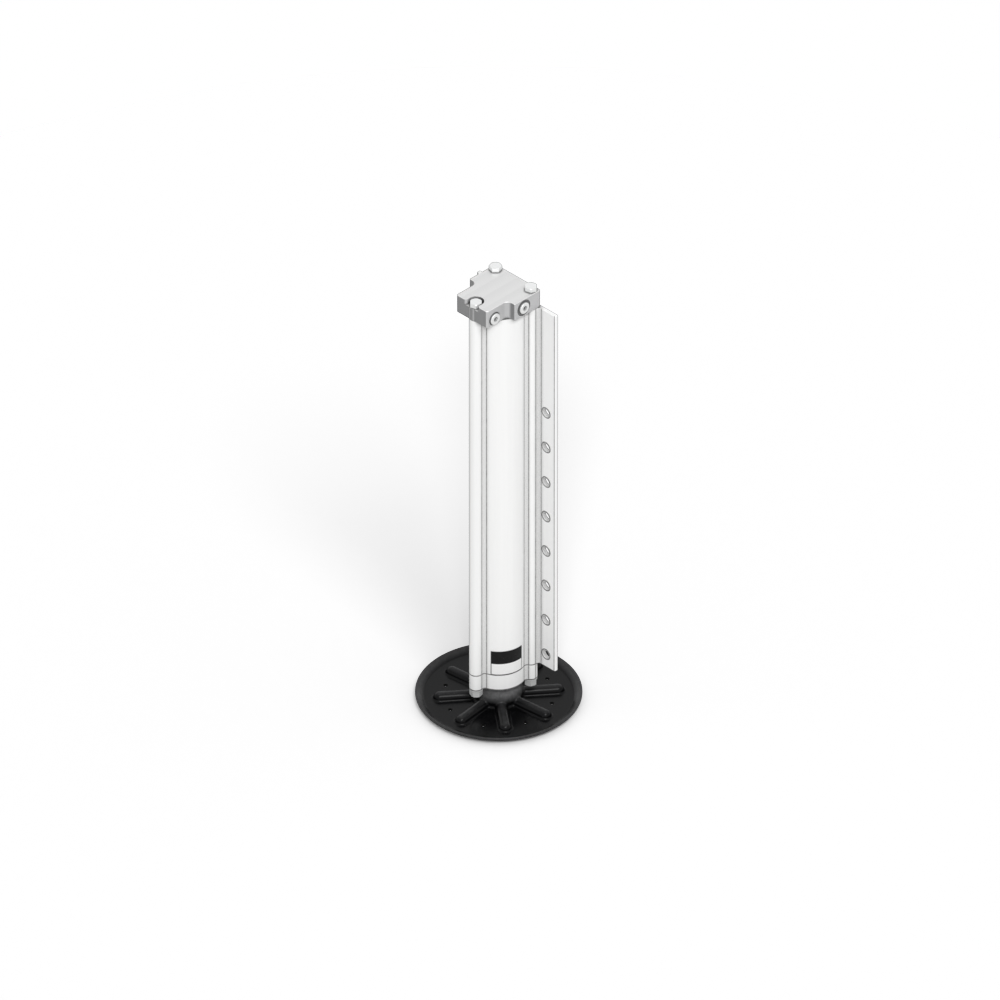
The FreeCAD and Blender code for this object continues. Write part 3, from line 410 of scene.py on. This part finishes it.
def powder_coated_aluminium():
    """White polyester powder baked on extruded aluminium.

    The eye sees a bright satin white with a faint orange peel, soft streaks and fine lines along the
    extrusion, dirt along the joints, and painted shade in the joints, in the holes and between the
    barrel and its bolt lobes.
    """
    colours = bpy.context.scene.jack_colours
    sizes = bpy.context.scene.jack_sizes
    material, tree, shader = new_material("powder_coated_aluminium", {"Specular IOR Level": 0.35})
    link = tree.links.new
    place = add(tree, "ShaderNodeTexCoord").outputs["Object"]
    stretched = add(tree, "ShaderNodeMapping", {"Vector": place, "Scale": EXTRUDED})
    streaks = add(tree, "ShaderNodeTexNoise",
                  {"Vector": stretched.outputs[0], "Scale": per_metre(sizes.streak), "Detail": 3})
    shade = add(tree, "ShaderNodeMapRange", {
        "Value": streaks.outputs["Fac"], "From Min": 0.3, "From Max": 0.7, "To Min": 0.97, "To Max": 1.0})
    paint = add(tree, "ShaderNodeMix", {0: 1.0, 6: opaque(colours.barrel_paint), 7: shade.outputs[0]},
                data_type="RGBA", blend_type="MULTIPLY")
    marks = paint_marks(tree, place)
    # Painted shade darkens the paint in the grooves between the barrel and its lobes, in the holes and in the
    # joints.
    link(painted_shade_and_grime(tree, paint.outputs[2], sizes.groove_shade_reach, shade_from=0.97, shade_full=0.6, marks=marks),
         shader.inputs["Base Color"])
    peel = add(tree, "ShaderNodeTexNoise",
               {"Vector": place, "Scale": per_metre(sizes.orange_peel), "Detail": 2})
    satin = add(tree, "ShaderNodeMapRange", {
        "Value": streaks.outputs["Fac"], "To Min": 0.36, "To Max": 0.5})
    link(satin.outputs[0], shader.inputs["Roughness"])
    bump = add(tree, "ShaderNodeBump", {
        "Height": peel.outputs["Fac"], "Strength": 0.12, "Distance": PEEL_DEPTH})
    link(bump.outputs[0], shader.inputs["Normal"])
    return material


def spot_faces(tree, place):
    """A mask that is 1 inside the round spot faces and the ports behind them."""
    flat = add(tree, "ShaderNodeVectorMath", {0: place, 1: (0, 1, 1)}, operation="MULTIPLY")
    mask = None
    for plug, radius in SPOT_RADII.items():
        low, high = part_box(plug)
        middle = (low + high) / 2
        away = add(tree, "ShaderNodeVectorMath", {0: flat.outputs[0], 1: (0, middle.y, middle.z)},
                   operation="DISTANCE")
        inside = add(tree, "ShaderNodeMath", {0: away.outputs["Value"], 1: radius + SPOT_SHADE_MARGIN},
                     operation="LESS_THAN").outputs[0]
        if mask is not None:
            inside = add(tree, "ShaderNodeMath", {0: mask, 1: inside}, operation="MAXIMUM").outputs[0]
        mask = inside
    return mask


def milled_aluminium():
    """Aluminium bar, milled on its top and edges, blasted on its sides and sawn at its ends.

    The eye sees a light top with faint arcs and passes from the cutter, even grey sides and darker ends;
    the lighter top and darker ends are partly painted light and shade. Dark rings round the ports and
    the corners are painted shade.
    """
    colours = bpy.context.scene.jack_colours
    sizes = bpy.context.scene.jack_sizes
    material, tree, shader = new_material("milled_aluminium", {"Metallic": 0.45})
    link = tree.links.new
    coordinates = add(tree, "ShaderNodeTexCoord")
    place = coordinates.outputs["Object"]
    facing = add(tree, "ShaderNodeSeparateXYZ", {0: coordinates.outputs["Normal"]})
    # By which way a face points, the top is made lighter and the ends darker: lit and shaded copies of the
    # aluminium, painted light and shade beside the real milled, blasted and sawn finishes.
    up = add(tree, "ShaderNodeMapRange", {"Value": facing.outputs["Z"], "From Min": 0.5, "From Max": 0.65})
    along = add(tree, "ShaderNodeMath", {0: facing.outputs["Y"]}, operation="ABSOLUTE")
    end = add(tree, "ShaderNodeMapRange", {"Value": along.outputs[0], "From Min": 0.86, "From Max": 0.995})
    side = add(tree, "ShaderNodeMix", {
        0: end.outputs[0], 6: opaque(colours.blasted), 7: opaque(colours.shaded_sawn_ends)}, data_type="RGBA")
    lit_and_shaded_faces = add(tree, "ShaderNodeMix", {
        0: up.outputs[0], 6: side.outputs[2], 7: opaque(colours.lit_machined_top)}, data_type="RGBA")
    # The recessed spot faces and the ports behind them are painted dark: painted shade in these recesses.
    metal = add(tree, "ShaderNodeMix", {
        0: spot_faces(tree, place), 6: lit_and_shaded_faces.outputs[2], 7: opaque(colours.spot_face_shade)}, data_type="RGBA")
    cloud = add(tree, "ShaderNodeTexNoise", {"Vector": place, "Scale": per_metre(sizes.mottle), "Detail": 4})
    passes = add(tree, "ShaderNodeTexWave", {
        "Vector": place, "Scale": waves_per_metre(sizes.mill_pass), "Distortion": 0.3},
        wave_profile="SAW")
    uneven = add(tree, "ShaderNodeMix", {0: up.outputs[0], 2: cloud.outputs["Fac"], 3: passes.outputs["Fac"]})
    tone = add(tree, "ShaderNodeMapRange", {
        "Value": uneven.outputs[0], "From Min": 0.2, "From Max": 0.8, "To Min": 0.96, "To Max": 1.0})
    mottled = add(tree, "ShaderNodeMix", {0: 1.0, 6: metal.outputs[2], 7: tone.outputs[0]},
                  data_type="RGBA", blend_type="MULTIPLY")
    # Painted shade darkens the aluminium in its corners and round the bolt heads.
    link(painted_shade_and_grime(tree, mottled.outputs[2], sizes.corner_shade_reach, shade_from=0.95, shade_full=0.5),
         shader.inputs["Base Color"])
    arcs = add(tree, "ShaderNodeMapping", {"Vector": place, "Location": CUTTER_SHIFT})
    cutter = add(tree, "ShaderNodeTexWave", {
        "Vector": arcs.outputs[0], "Scale": waves_per_metre(sizes.mill_marks), "Distortion": 0.6},
        wave_type="RINGS", rings_direction="Z")
    grit = add(tree, "ShaderNodeTexNoise",
               {"Vector": place, "Scale": per_metre(sizes.blast_grit), "Detail": 2})
    relief = add(tree, "ShaderNodeMix", {
        0: up.outputs[0], 2: grit.outputs["Fac"], 3: cutter.outputs["Fac"]})
    gloss = add(tree, "ShaderNodeMapRange", {"Value": up.outputs[0], "To Min": 0.55, "To Max": 0.5})
    link(gloss.outputs[0], shader.inputs["Roughness"])
    bump = add(tree, "ShaderNodeBump", {
        "Height": relief.outputs[0], "Strength": 0.15, "Distance": MILL_DEPTH})
    link(bump.outputs[0], shader.inputs["Normal"])
    return material


def metal_finish(name, rgb, grain, roughness, metallic=1.0, stretch=(1, 1, 1), depth=0.05):
    """A bare or coated metal, whose fine grain gives slight changes of gloss and tone, with painted shade in
    its corners.
    """
    material, tree, shader = new_material(name, {"Metallic": metallic})
    place = add(tree, "ShaderNodeTexCoord").outputs["Object"]
    drawn = add(tree, "ShaderNodeMapping", {"Vector": place, "Scale": stretch})
    marks = add(tree, "ShaderNodeTexNoise",
                {"Vector": drawn.outputs[0], "Scale": per_metre(grain), "Detail": 3})
    tone = add(tree, "ShaderNodeMapRange", {
        "Value": marks.outputs["Fac"], "From Min": 0.3, "From Max": 0.7, "To Min": 0.93, "To Max": 1.0})
    metal = add(tree, "ShaderNodeMix", {0: 1.0, 6: opaque(rgb), 7: tone.outputs[0]},
                data_type="RGBA", blend_type="MULTIPLY")
    gloss = add(tree, "ShaderNodeMapRange", {
        "Value": marks.outputs["Fac"], "To Min": roughness * 1.2, "To Max": roughness * 0.8})
    bump = add(tree, "ShaderNodeBump", {
        "Height": marks.outputs["Fac"], "Strength": depth, "Distance": GRAIN_DEPTH})
    reach = bpy.context.scene.jack_sizes.corner_shade_reach
    # Painted shade darkens the metal in its corners and where it meets other parts.
    tree.links.new(painted_shade_and_grime(tree, metal.outputs[2], reach, shade_from=0.85, shade_full=0.55),
                   shader.inputs["Base Color"])
    tree.links.new(gloss.outputs[0], shader.inputs["Roughness"])
    tree.links.new(bump.outputs[0], shader.inputs["Normal"])
    return material


def zinc_flake_steel():
    """Zinc flakes in a thin binder on steel: a dull even silver that stays pale in shade."""
    scene = bpy.context.scene
    return metal_finish("zinc_flake_coated_steel", scene.jack_colours.zinc, scene.jack_sizes.flake_grain,
                        roughness=0.34, metallic=0.4)


def hard_chromed_steel():
    """Hard chrome ground on a steel rod: a near mirror with faint marks round it."""
    scene = bpy.context.scene
    return metal_finish("hard_chromed_steel", scene.jack_colours.chrome, 2 * scene.jack_sizes.grind_grain,
                        roughness=0.14, stretch=TURNED, depth=0.02)


def turned_steel():
    """Bare steel from the lathe: a plain grey gloss with marks round the axis."""
    scene = bpy.context.scene
    return metal_finish("turned_steel", scene.jack_colours.steel, scene.jack_sizes.grind_grain,
                        roughness=0.38, stretch=TURNED)


def sintered_bronze():
    """Pressed and sintered bronze: a dull warm yellow with an even grain."""
    scene = bpy.context.scene
    return metal_finish("sintered_bronze", scene.jack_colours.bronze, scene.jack_sizes.grind_grain,
                        roughness=0.4)


def cast_iron():
    """Cast iron: a dark grey with a rough grain."""
    scene = bpy.context.scene
    return metal_finish("cast_iron", scene.jack_colours.iron, scene.jack_sizes.cast_grain, roughness=0.6)


def black_coated_steel():
    """Pressed steel with a baked black dip coat.

    The eye sees a near-black satin with a slight orange peel, worn paler on the rim, the ribs and most on
    the hub; the paler tone is also a painted sheen in place of highlights there.
    """
    colours = bpy.context.scene.jack_colours
    sizes = bpy.context.scene.jack_sizes
    material, tree, shader = new_material("black_dip_coated_steel", {"Specular IOR Level": 0.12})
    link = tree.links.new
    place = add(tree, "ShaderNodeTexCoord").outputs["Object"]
    cloud = add(tree, "ShaderNodeTexNoise",
                {"Vector": place, "Scale": per_metre(sizes.coat_cloud), "Detail": 5})
    height = add(tree, "ShaderNodeSeparateXYZ", {0: place}).outputs["Z"]
    # The hub, the ribs and the rim are made paler by height and radius: rubbed wear, and also a painted sheen
    # in place of highlights.
    high = add(tree, "ShaderNodeMapRange", {"Value": height, "From Min": WEAR_SHEEN_START, "From Max": WEAR_SHEEN_FULL})
    rim_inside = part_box("foot_pad")[1].x - RIM_WIDTH
    level = add(tree, "ShaderNodeVectorMath", {0: place, 1: (1, 1, 0)}, operation="MULTIPLY")
    radius = add(tree, "ShaderNodeVectorMath", {0: level.outputs[0]}, operation="LENGTH")
    rim = add(tree, "ShaderNodeMapRange", {
        "Value": radius.outputs["Value"], "From Min": rim_inside, "From Max": rim_inside + RIM_WIDTH / 2,
        "To Max": RIM_WEAR_SHEEN})
    high = add(tree, "ShaderNodeMath", {0: high.outputs[0], 1: rim.outputs[0]}, operation="MAXIMUM")
    scuffs = add(tree, "ShaderNodeTexNoise", {"Vector": place, "Scale": per_metre(sizes.scuff), "Detail": 6})
    patchy = add(tree, "ShaderNodeMapRange", {
        "Value": scuffs.outputs["Fac"], "From Min": 0.3, "From Max": 0.7, "To Min": 0.6, "To Max": 1.0})
    rubbed_and_sheen = add(tree, "ShaderNodeMath", {0: high.outputs[0], 1: patchy.outputs[0]}, operation="MULTIPLY")
    tone = add(tree, "ShaderNodeMapRange", {
        "Value": cloud.outputs["Fac"], "From Min": 0.3, "From Max": 0.7, "To Min": 0.8, "To Max": 1.2})
    coat = add(tree, "ShaderNodeMix", {0: 1.0, 6: opaque(colours.foot_coat), 7: tone.outputs[0]},
               data_type="RGBA", blend_type="MULTIPLY")
    worn = add(tree, "ShaderNodeMix", {
        0: rubbed_and_sheen.outputs[0], 6: coat.outputs[2], 7: opaque(colours.foot_wear_and_sheen)}, data_type="RGBA")
    link(worn.outputs[2], shader.inputs["Base Color"])
    gloss = add(tree, "ShaderNodeMapRange", {"Value": cloud.outputs["Fac"], "To Min": 0.2, "To Max": 0.3})
    link(gloss.outputs[0], shader.inputs["Roughness"])
    peel = add(tree, "ShaderNodeTexNoise",
               {"Vector": place, "Scale": per_metre(sizes.orange_peel), "Detail": 2})
    bump = add(tree, "ShaderNodeBump", {
        "Height": peel.outputs["Fac"], "Strength": 0.1, "Distance": PEEL_DEPTH})
    link(bump.outputs[0], shader.inputs["Normal"])
    return material


def nitrile_rubber():
    """Moulded nitrile rubber: a dull near-black with a fine bloom."""
    scene = bpy.context.scene
    material, tree, shader = new_material("moulded_nitrile_rubber")
    place = add(tree, "ShaderNodeTexCoord").outputs["Object"]
    bloom = add(tree, "ShaderNodeTexNoise",
                {"Vector": place, "Scale": per_metre(scene.jack_sizes.bloom), "Detail": 4})
    tone = add(tree, "ShaderNodeMapRange", {"Value": bloom.outputs["Fac"], "To Min": 0.75, "To Max": 1.3})
    mixed = add(tree, "ShaderNodeMix", {
        0: 1.0, 6: opaque(scene.jack_colours.rubber), 7: tone.outputs[0]},
        data_type="RGBA", blend_type="MULTIPLY")
    gloss = add(tree, "ShaderNodeMapRange", {"Value": bloom.outputs["Fac"], "To Min": 0.5, "To Max": 0.75})
    tree.links.new(mixed.outputs[2], shader.inputs["Base Color"])
    tree.links.new(gloss.outputs[0], shader.inputs["Roughness"])
    return material


def printed_vinyl_film():
    """Cast vinyl film printed in two bare tones, dark over pale with a thin dark edge, with a satin face."""
    colours = bpy.context.scene.jack_colours
    sizes = bpy.context.scene.jack_sizes
    border = sizes.film_border
    low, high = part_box("right_decal")
    corners = [vertex.co for vertex in NODES["right_decal"].data.vertices]
    film_radius = max(math.hypot(corner.x, corner.y) for corner in corners)
    film_turn = max(math.atan2(corner.y, corner.x) for corner in corners) - FILM_ANGLE
    edge_turn = film_turn - border / film_radius
    material, tree, shader = new_material("printed_vinyl_film", {"Specular IOR Level": 0.2})
    place = add(tree, "ShaderNodeTexCoord").outputs["Object"]
    spot = add(tree, "ShaderNodeSeparateXYZ", {0: place}).outputs
    split = low.z + FILM_SPLIT * (high.z - low.z)
    upper = add(tree, "ShaderNodeMath", {0: spot["Z"], 1: split}, operation="GREATER_THAN")
    lower_edge = add(tree, "ShaderNodeMath", {0: spot["Z"], 1: low.z + border}, operation="LESS_THAN")
    outward = add(tree, "ShaderNodeMath", {0: spot["X"]}, operation="ABSOLUTE")
    turn = add(tree, "ShaderNodeMath", {0: spot["Y"], 1: outward.outputs[0]}, operation="ARCTAN2")
    off = add(tree, "ShaderNodeMath", {0: turn.outputs[0], 1: FILM_ANGLE}, operation="SUBTRACT")
    off = add(tree, "ShaderNodeMath", {0: off.outputs[0]}, operation="ABSOLUTE")
    side_edge = add(tree, "ShaderNodeMath", {0: off.outputs[0], 1: edge_turn}, operation="GREATER_THAN")
    dark = add(tree, "ShaderNodeMath", {0: upper.outputs[0], 1: lower_edge.outputs[0]}, operation="MAXIMUM")
    dark = add(tree, "ShaderNodeMath", {0: dark.outputs[0], 1: side_edge.outputs[0]}, operation="MAXIMUM")
    print_tone = add(tree, "ShaderNodeMix", {
        0: dark.outputs[0], 6: opaque(colours.film_pale), 7: opaque(colours.film_dark)}, data_type="RGBA")
    ripple = add(tree, "ShaderNodeTexNoise",
                 {"Vector": place, "Scale": per_metre(sizes.film_ripple), "Detail": 2})
    gloss = add(tree, "ShaderNodeMapRange", {"Value": ripple.outputs["Fac"], "To Min": 0.22, "To Max": 0.36})
    bump = add(tree, "ShaderNodeBump", {
        "Height": ripple.outputs["Fac"], "Strength": 0.05, "Distance": RIPPLE_DEPTH})
    tree.links.new(print_tone.outputs[2], shader.inputs["Base Color"])
    tree.links.new(gloss.outputs[0], shader.inputs["Roughness"])
    tree.links.new(bump.outputs[0], shader.inputs["Normal"])
    return material


def dress(material, *names):
    """Gives CAD nodes a material."""
    for name in names:
        NODES[name].data.materials.clear()
        NODES[name].data.materials.append(material)


def add_piece(name, bm, material, body):
    """Turns a finished bmesh into a piece that rides on a CAD body."""
    bmesh.ops.recalc_face_normals(bm, faces=bm.faces)
    mesh = bpy.data.meshes.new(name)
    bm.to_mesh(mesh)
    bm.free()
    mesh.shade_smooth()
    mesh.set_sharp_from_angle(angle=SHARP_ANGLE)
    mesh.materials.append(material)
    piece = bpy.data.objects.new(name, mesh)
    bpy.context.scene.collection.objects.link(piece)
    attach(piece, body)
    return piece


def add_rings(bm, rings, closed):
    """Joins rings of points into a skin; the last ring meets the first one, or both ends are capped."""
    rows = [[bm.verts.new(point) for point in ring] for ring in rings]
    for here, there in zip(rows, rows[1:] + rows[:1] if closed else rows[1:]):
        for k in range(len(here)):
            bm.faces.new((here[k - 1], here[k], there[k], there[k - 1]))
    if not closed:
        bm.faces.new(rows[0])
        bm.faces.new(rows[-1])


class JACK_OT_barrel(bpy.types.Operator):
    """Paints the barrel and the gland head"""
    bl_idname = "jack.barrel"
    bl_label = "Paint barrel"

    def execute(self, context):
        dress(powder_coated_aluminium(), "barrel_extrusion", "gland_head")
        return {"FINISHED"}


class JACK_OT_manifold(bpy.types.Operator):
    """Finishes the top manifold and cuts the threads of its open ports"""
    bl_idname = "jack.manifold"
    bl_label = "Finish manifold"

    def execute(self, context):
        material = milled_aluminium()
        dress(material, "top_manifold")
        sizes = context.scene.jack_sizes
        for plug in SPOT_RADII:
            low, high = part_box(plug)
            middle = (low + high) / 2
            bm = bmesh.new()
            add_rings(bm, self.ridge(sizes, low.x + PLUG_SHANK, middle.y, middle.z), closed=False)
            add_piece(plug.replace("plug", "thread"), bm, material, "barrel")
        return {"FINISHED"}

    def ridge(self, sizes, spot_x, y, z):
        """Sections of the ridge that winds down an open port, which mirrors a plugged one."""
        steps = 48
        fade_steps = 12
        least_rise = 0.02
        count = int(steps * (THREAD_END - THREAD_START) / sizes.port_pitch)
        root = PORT_RADIUS + RIDGE_SINK
        sections = []
        for step in range(count + 1):
            turn = 2 * math.pi * step / steps
            depth = THREAD_START + step * sizes.port_pitch / steps
            fade = min(1.0, step / fade_steps, (count - step) / fade_steps)
            rise = least_rise + fade * (1 - least_rise)
            crest = PORT_RADIUS - rise * sizes.port_crest
            profile = ((-RIDGE_ROOT, root), (-RIDGE_CREST, crest), (RIDGE_CREST, crest), (RIDGE_ROOT, root))
            section = []
            for shift, radius in profile:
                x = depth - spot_x + shift * sizes.port_pitch
                section.append((x, y + radius * math.cos(turn), z + radius * math.sin(turn)))
            sections.append(section)
        return sections


class JACK_OT_fasteners(bpy.types.Operator):
    """Coats the bolts, nuts, washers and plugs, and makes the socket screws under the ball's cup"""
    bl_idname = "jack.fasteners"
    bl_label = "Coat fasteners"

    def execute(self, context):
        zinc = zinc_flake_steel()
        dress(zinc, "rear_tie_bolts", "front_tie_bolt", "tie_bolt_washers", "tie_bolt_nuts",
              "extend_port_plug", "retract_port_plug")
        low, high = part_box("collar_screws")
        bm = bmesh.new()
        for x in (low.x + SCREW_HEAD, high.x - SCREW_HEAD):
            for y in (low.y + SCREW_HEAD, high.y - SCREW_HEAD):
                rings = self.screw(context.scene.jack_sizes, x, y, low.z, high.z)
                add_rings(bm, rings, closed=False)
        screws = add_piece("socket_screws", bm, zinc, "foot")
        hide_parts("collar_screws")
        return {"FINISHED"}

    def screw(self, sizes, x, y, bottom, top):
        """Rings of one screw, from the floor of its hexagonal socket out and up to its tip."""
        corners = 36
        angles = [2 * math.pi * k / corners for k in range(corners)]
        sixth = math.pi / 3

        def hexagon(z):
            half = sizes.socket_flats / 2
            reach = [half / math.cos((angle + sixth / 2) % sixth - sixth / 2) for angle in angles]
            return [(x + r * math.cos(a), y + r * math.sin(a), z) for r, a in zip(reach, angles)]

        def circle(radius, z):
            return [(x + radius * math.cos(a), y + radius * math.sin(a), z) for a in angles]

        return [
            hexagon(bottom + sizes.socket_depth), hexagon(bottom),
            circle(SCREW_HEAD - SCREW_EDGE, bottom), circle(SCREW_HEAD, bottom + SCREW_EDGE),
            circle(SCREW_HEAD, bottom + SCREW_HEAD_HEIGHT), circle(SCREW_SHANK, bottom + SCREW_HEAD_HEIGHT),
            circle(SCREW_SHANK, top - SCREW_EDGE), circle(SCREW_SHANK - SCREW_EDGE, top),
        ]


class JACK_OT_decals(bpy.types.Operator):
    """Prints the two bare decals"""
    bl_idname = "jack.decals"
    bl_label = "Print decals"

    def execute(self, context):
        dress(printed_vinyl_film(), "right_decal", "left_decal")
        return {"FINISHED"}


class JACK_OT_rod(bpy.types.Operator):
    """Finishes the rod, the piston, the seals and the ball joint"""
    bl_idname = "jack.rod"
    bl_label = "Finish rod"

    def execute(self, context):
        dress(hard_chromed_steel(), "piston_rod")
        dress(turned_steel(), "ball_stud", "piston_nut", "stop_tube", "ball_cup", "ball_collar")
        dress(sintered_bronze(), "rod_guide_bush", "piston_wear_ring", "ball_liner")
        dress(cast_iron(), "piston")
        dress(nitrile_rubber(), "port_plug_o_rings", "manifold_o_ring", "transfer_o_rings", "gland_o_ring",
              "rod_seal", "rod_wiper", "piston_seal", "piston_o_ring")
        return {"FINISHED"}


class JACK_OT_foot(bpy.types.Operator):
    """Coats the pressed foot and lays the weld round the ball's cup"""
    bl_idname = "jack.foot"
    bl_label = "Coat foot"

    def execute(self, context):
        coat = black_coated_steel()
        dress(coat, "foot_pad")
        sizes = context.scene.jack_sizes
        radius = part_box("ball_cup")[1].x - WELD_INSET
        ripples = round(2 * math.pi * radius / sizes.weld_step)
        steps = 4 * ripples
        corners = 12
        rings = []
        for step in range(steps):
            turn = 2 * math.pi * step / steps
            bead = sizes.weld_bead * (1 + WELD_RIPPLE * math.cos(ripples * turn))
            ring = []
            for k in range(corners):
                angle = 2 * math.pi * k / corners
                out = radius + bead * math.cos(angle)
                up = WELD_HEIGHT + bead * math.sin(angle)
                ring.append((out * math.cos(turn), out * math.sin(turn), up))
            rings.append(ring)
        bm = bmesh.new()
        add_rings(bm, rings, closed=True)
        add_piece("cup_weld", bm, coat, "foot")
        return {"FINISHED"}


class JACK_OT_stage(bpy.types.Operator):
    """Sets up the floor, the light, the white surround and the camera"""
    bl_idname = "jack.stage"
    bl_label = "Set stage"

    def execute(self, context):
        scene = context.scene
        stage = scene.jack_stage
        scene.view_settings.view_transform = "Standard"
        self.lay_floor(scene, stage)
        self.surround(scene, stage)
        self.light(scene, "key_light", KEY_PLACE, KEY_WIDTH, stage.key)
        self.light(scene, "front_light", FRONT_PLACE, FRONT_WIDTH, stage.front)
        self.place_camera(scene, stage)
        return {"FINISHED"}

    def lay_floor(self, scene, stage):
        """Lays a floor that goes with the foot, as the ground does when the rod comes out or it slopes."""
        mesh = bpy.data.meshes.new("floor")
        bm = bmesh.new()
        bmesh.ops.create_circle(bm, cap_ends=True, segments=96, radius=stage.floor_radius)
        bm.to_mesh(mesh)
        bm.free()
        floor = bpy.data.objects.new("floor", mesh)
        floor.location.z = -FLOOR_GAP
        scene.collection.objects.link(floor)
        floor.parent = NODES["foot_pad"].parent
        material = new_material("pale_floor", {"Roughness": 0.9, "Base Color": opaque(stage.floor)})[0]
        mesh.materials.append(material)
        floor.is_shadow_catcher = True

    def surround(self, scene, stage):
        """Makes the world white to the eye and in reflections, and dimmer as a light."""
        world = bpy.data.worlds.new("white_surround")
        world.use_nodes = True
        scene.world = world
        tree = world.node_tree
        path = add(tree, "ShaderNodeLightPath")
        seen = add(tree, "ShaderNodeMath", {
            0: path.outputs["Is Camera Ray"], 1: path.outputs["Is Glossy Ray"]}, operation="MAXIMUM")
        seen = add(tree, "ShaderNodeMath", {
            0: seen.outputs[0], 1: path.outputs["Is Transmission Ray"]}, operation="MAXIMUM")
        level = add(tree, "ShaderNodeMapRange", {
            "Value": seen.outputs[0], "To Min": stage.ambient, "To Max": 1.0})
        back = tree.nodes["Background"]
        back.inputs["Color"].default_value = (1, 1, 1, 1)
        tree.links.new(level.outputs[0], back.inputs["Strength"])

    def light(self, scene, name, place, width, watts):
        """Hangs a round lamp that points at the middle of the jack."""
        lamp = bpy.data.lights.new(name, "AREA")
        lamp.shape = "DISK"
        lamp.size = width
        lamp.energy = watts
        holder = bpy.data.objects.new(name, lamp)
        holder.location = place
        holder.rotation_euler = (VIEW_CENTRE - holder.location).to_track_quat("-Z", "Y").to_euler()
        scene.collection.objects.link(holder)

    def place_camera(self, scene, stage):
        """Places the camera so far off that its long lens frames the jack."""
        data = bpy.data.cameras.new("camera")
        data.sensor_width = SENSOR
        data.lens = stage.lens
        distance = VIEW_WIDTH * stage.lens / SENSOR
        data.clip_end = 2 * distance
        back = Vector((math.sin(VIEW_AZIMUTH) * math.cos(VIEW_ELEVATION),
                       -math.cos(VIEW_AZIMUTH) * math.cos(VIEW_ELEVATION),
                       math.sin(VIEW_ELEVATION)))
        camera = bpy.data.objects.new("camera", data)
        camera.location = VIEW_CENTRE + back * distance
        camera.rotation_euler = (-back).to_track_quat("-Z", "Y").to_euler()
        scene.collection.objects.link(camera)
        scene.camera = camera


OPERATORS = (JACK_OT_barrel, JACK_OT_manifold, JACK_OT_fasteners, JACK_OT_decals, JACK_OT_rod, JACK_OT_foot,
             JACK_OT_stage)


class JACK_PT_finishes(bpy.types.Panel):
    """Lists the operators and the settings"""
    bl_idname = "JACK_PT_finishes"
    bl_label = "Leveling Jack"
    bl_space_type = "VIEW_3D"
    bl_region_type = "UI"
    bl_category = "Jack"

    def draw(self, context):
        for operator in OPERATORS:
            self.layout.operator(operator.bl_idname)
        for group in GROUPS:
            box = self.layout.box()
            settings = getattr(context.scene, group)
            for name in settings.bl_rna.properties.keys():
                if name not in ("rna_type", "name"):
                    box.prop(settings, name)


GROUPS = {"jack_colours": JackColours, "jack_sizes": JackSizes, "jack_stage": JackStage}


def register():
    for group in GROUPS.values():
        bpy.utils.register_class(group)
    for name, group in GROUPS.items():
        setattr(bpy.types.Scene, name, bpy.props.PointerProperty(type=group))
    for cls in (*OPERATORS, JACK_PT_finishes):
        bpy.utils.register_class(cls)


def unregister():
    for cls in (JACK_PT_finishes, *reversed(OPERATORS)):
        bpy.utils.unregister_class(cls)
    for name, group in GROUPS.items():
        delattr(bpy.types.Scene, name)
        bpy.utils.unregister_class(group)


def main():
    register()
    bpy.ops.jack.barrel()
    bpy.ops.jack.manifold()
    bpy.ops.jack.fasteners()
    bpy.ops.jack.decals()
    bpy.ops.jack.rod()
    bpy.ops.jack.foot()
    bpy.ops.jack.stage()


if __name__ == "__main__":
    main()
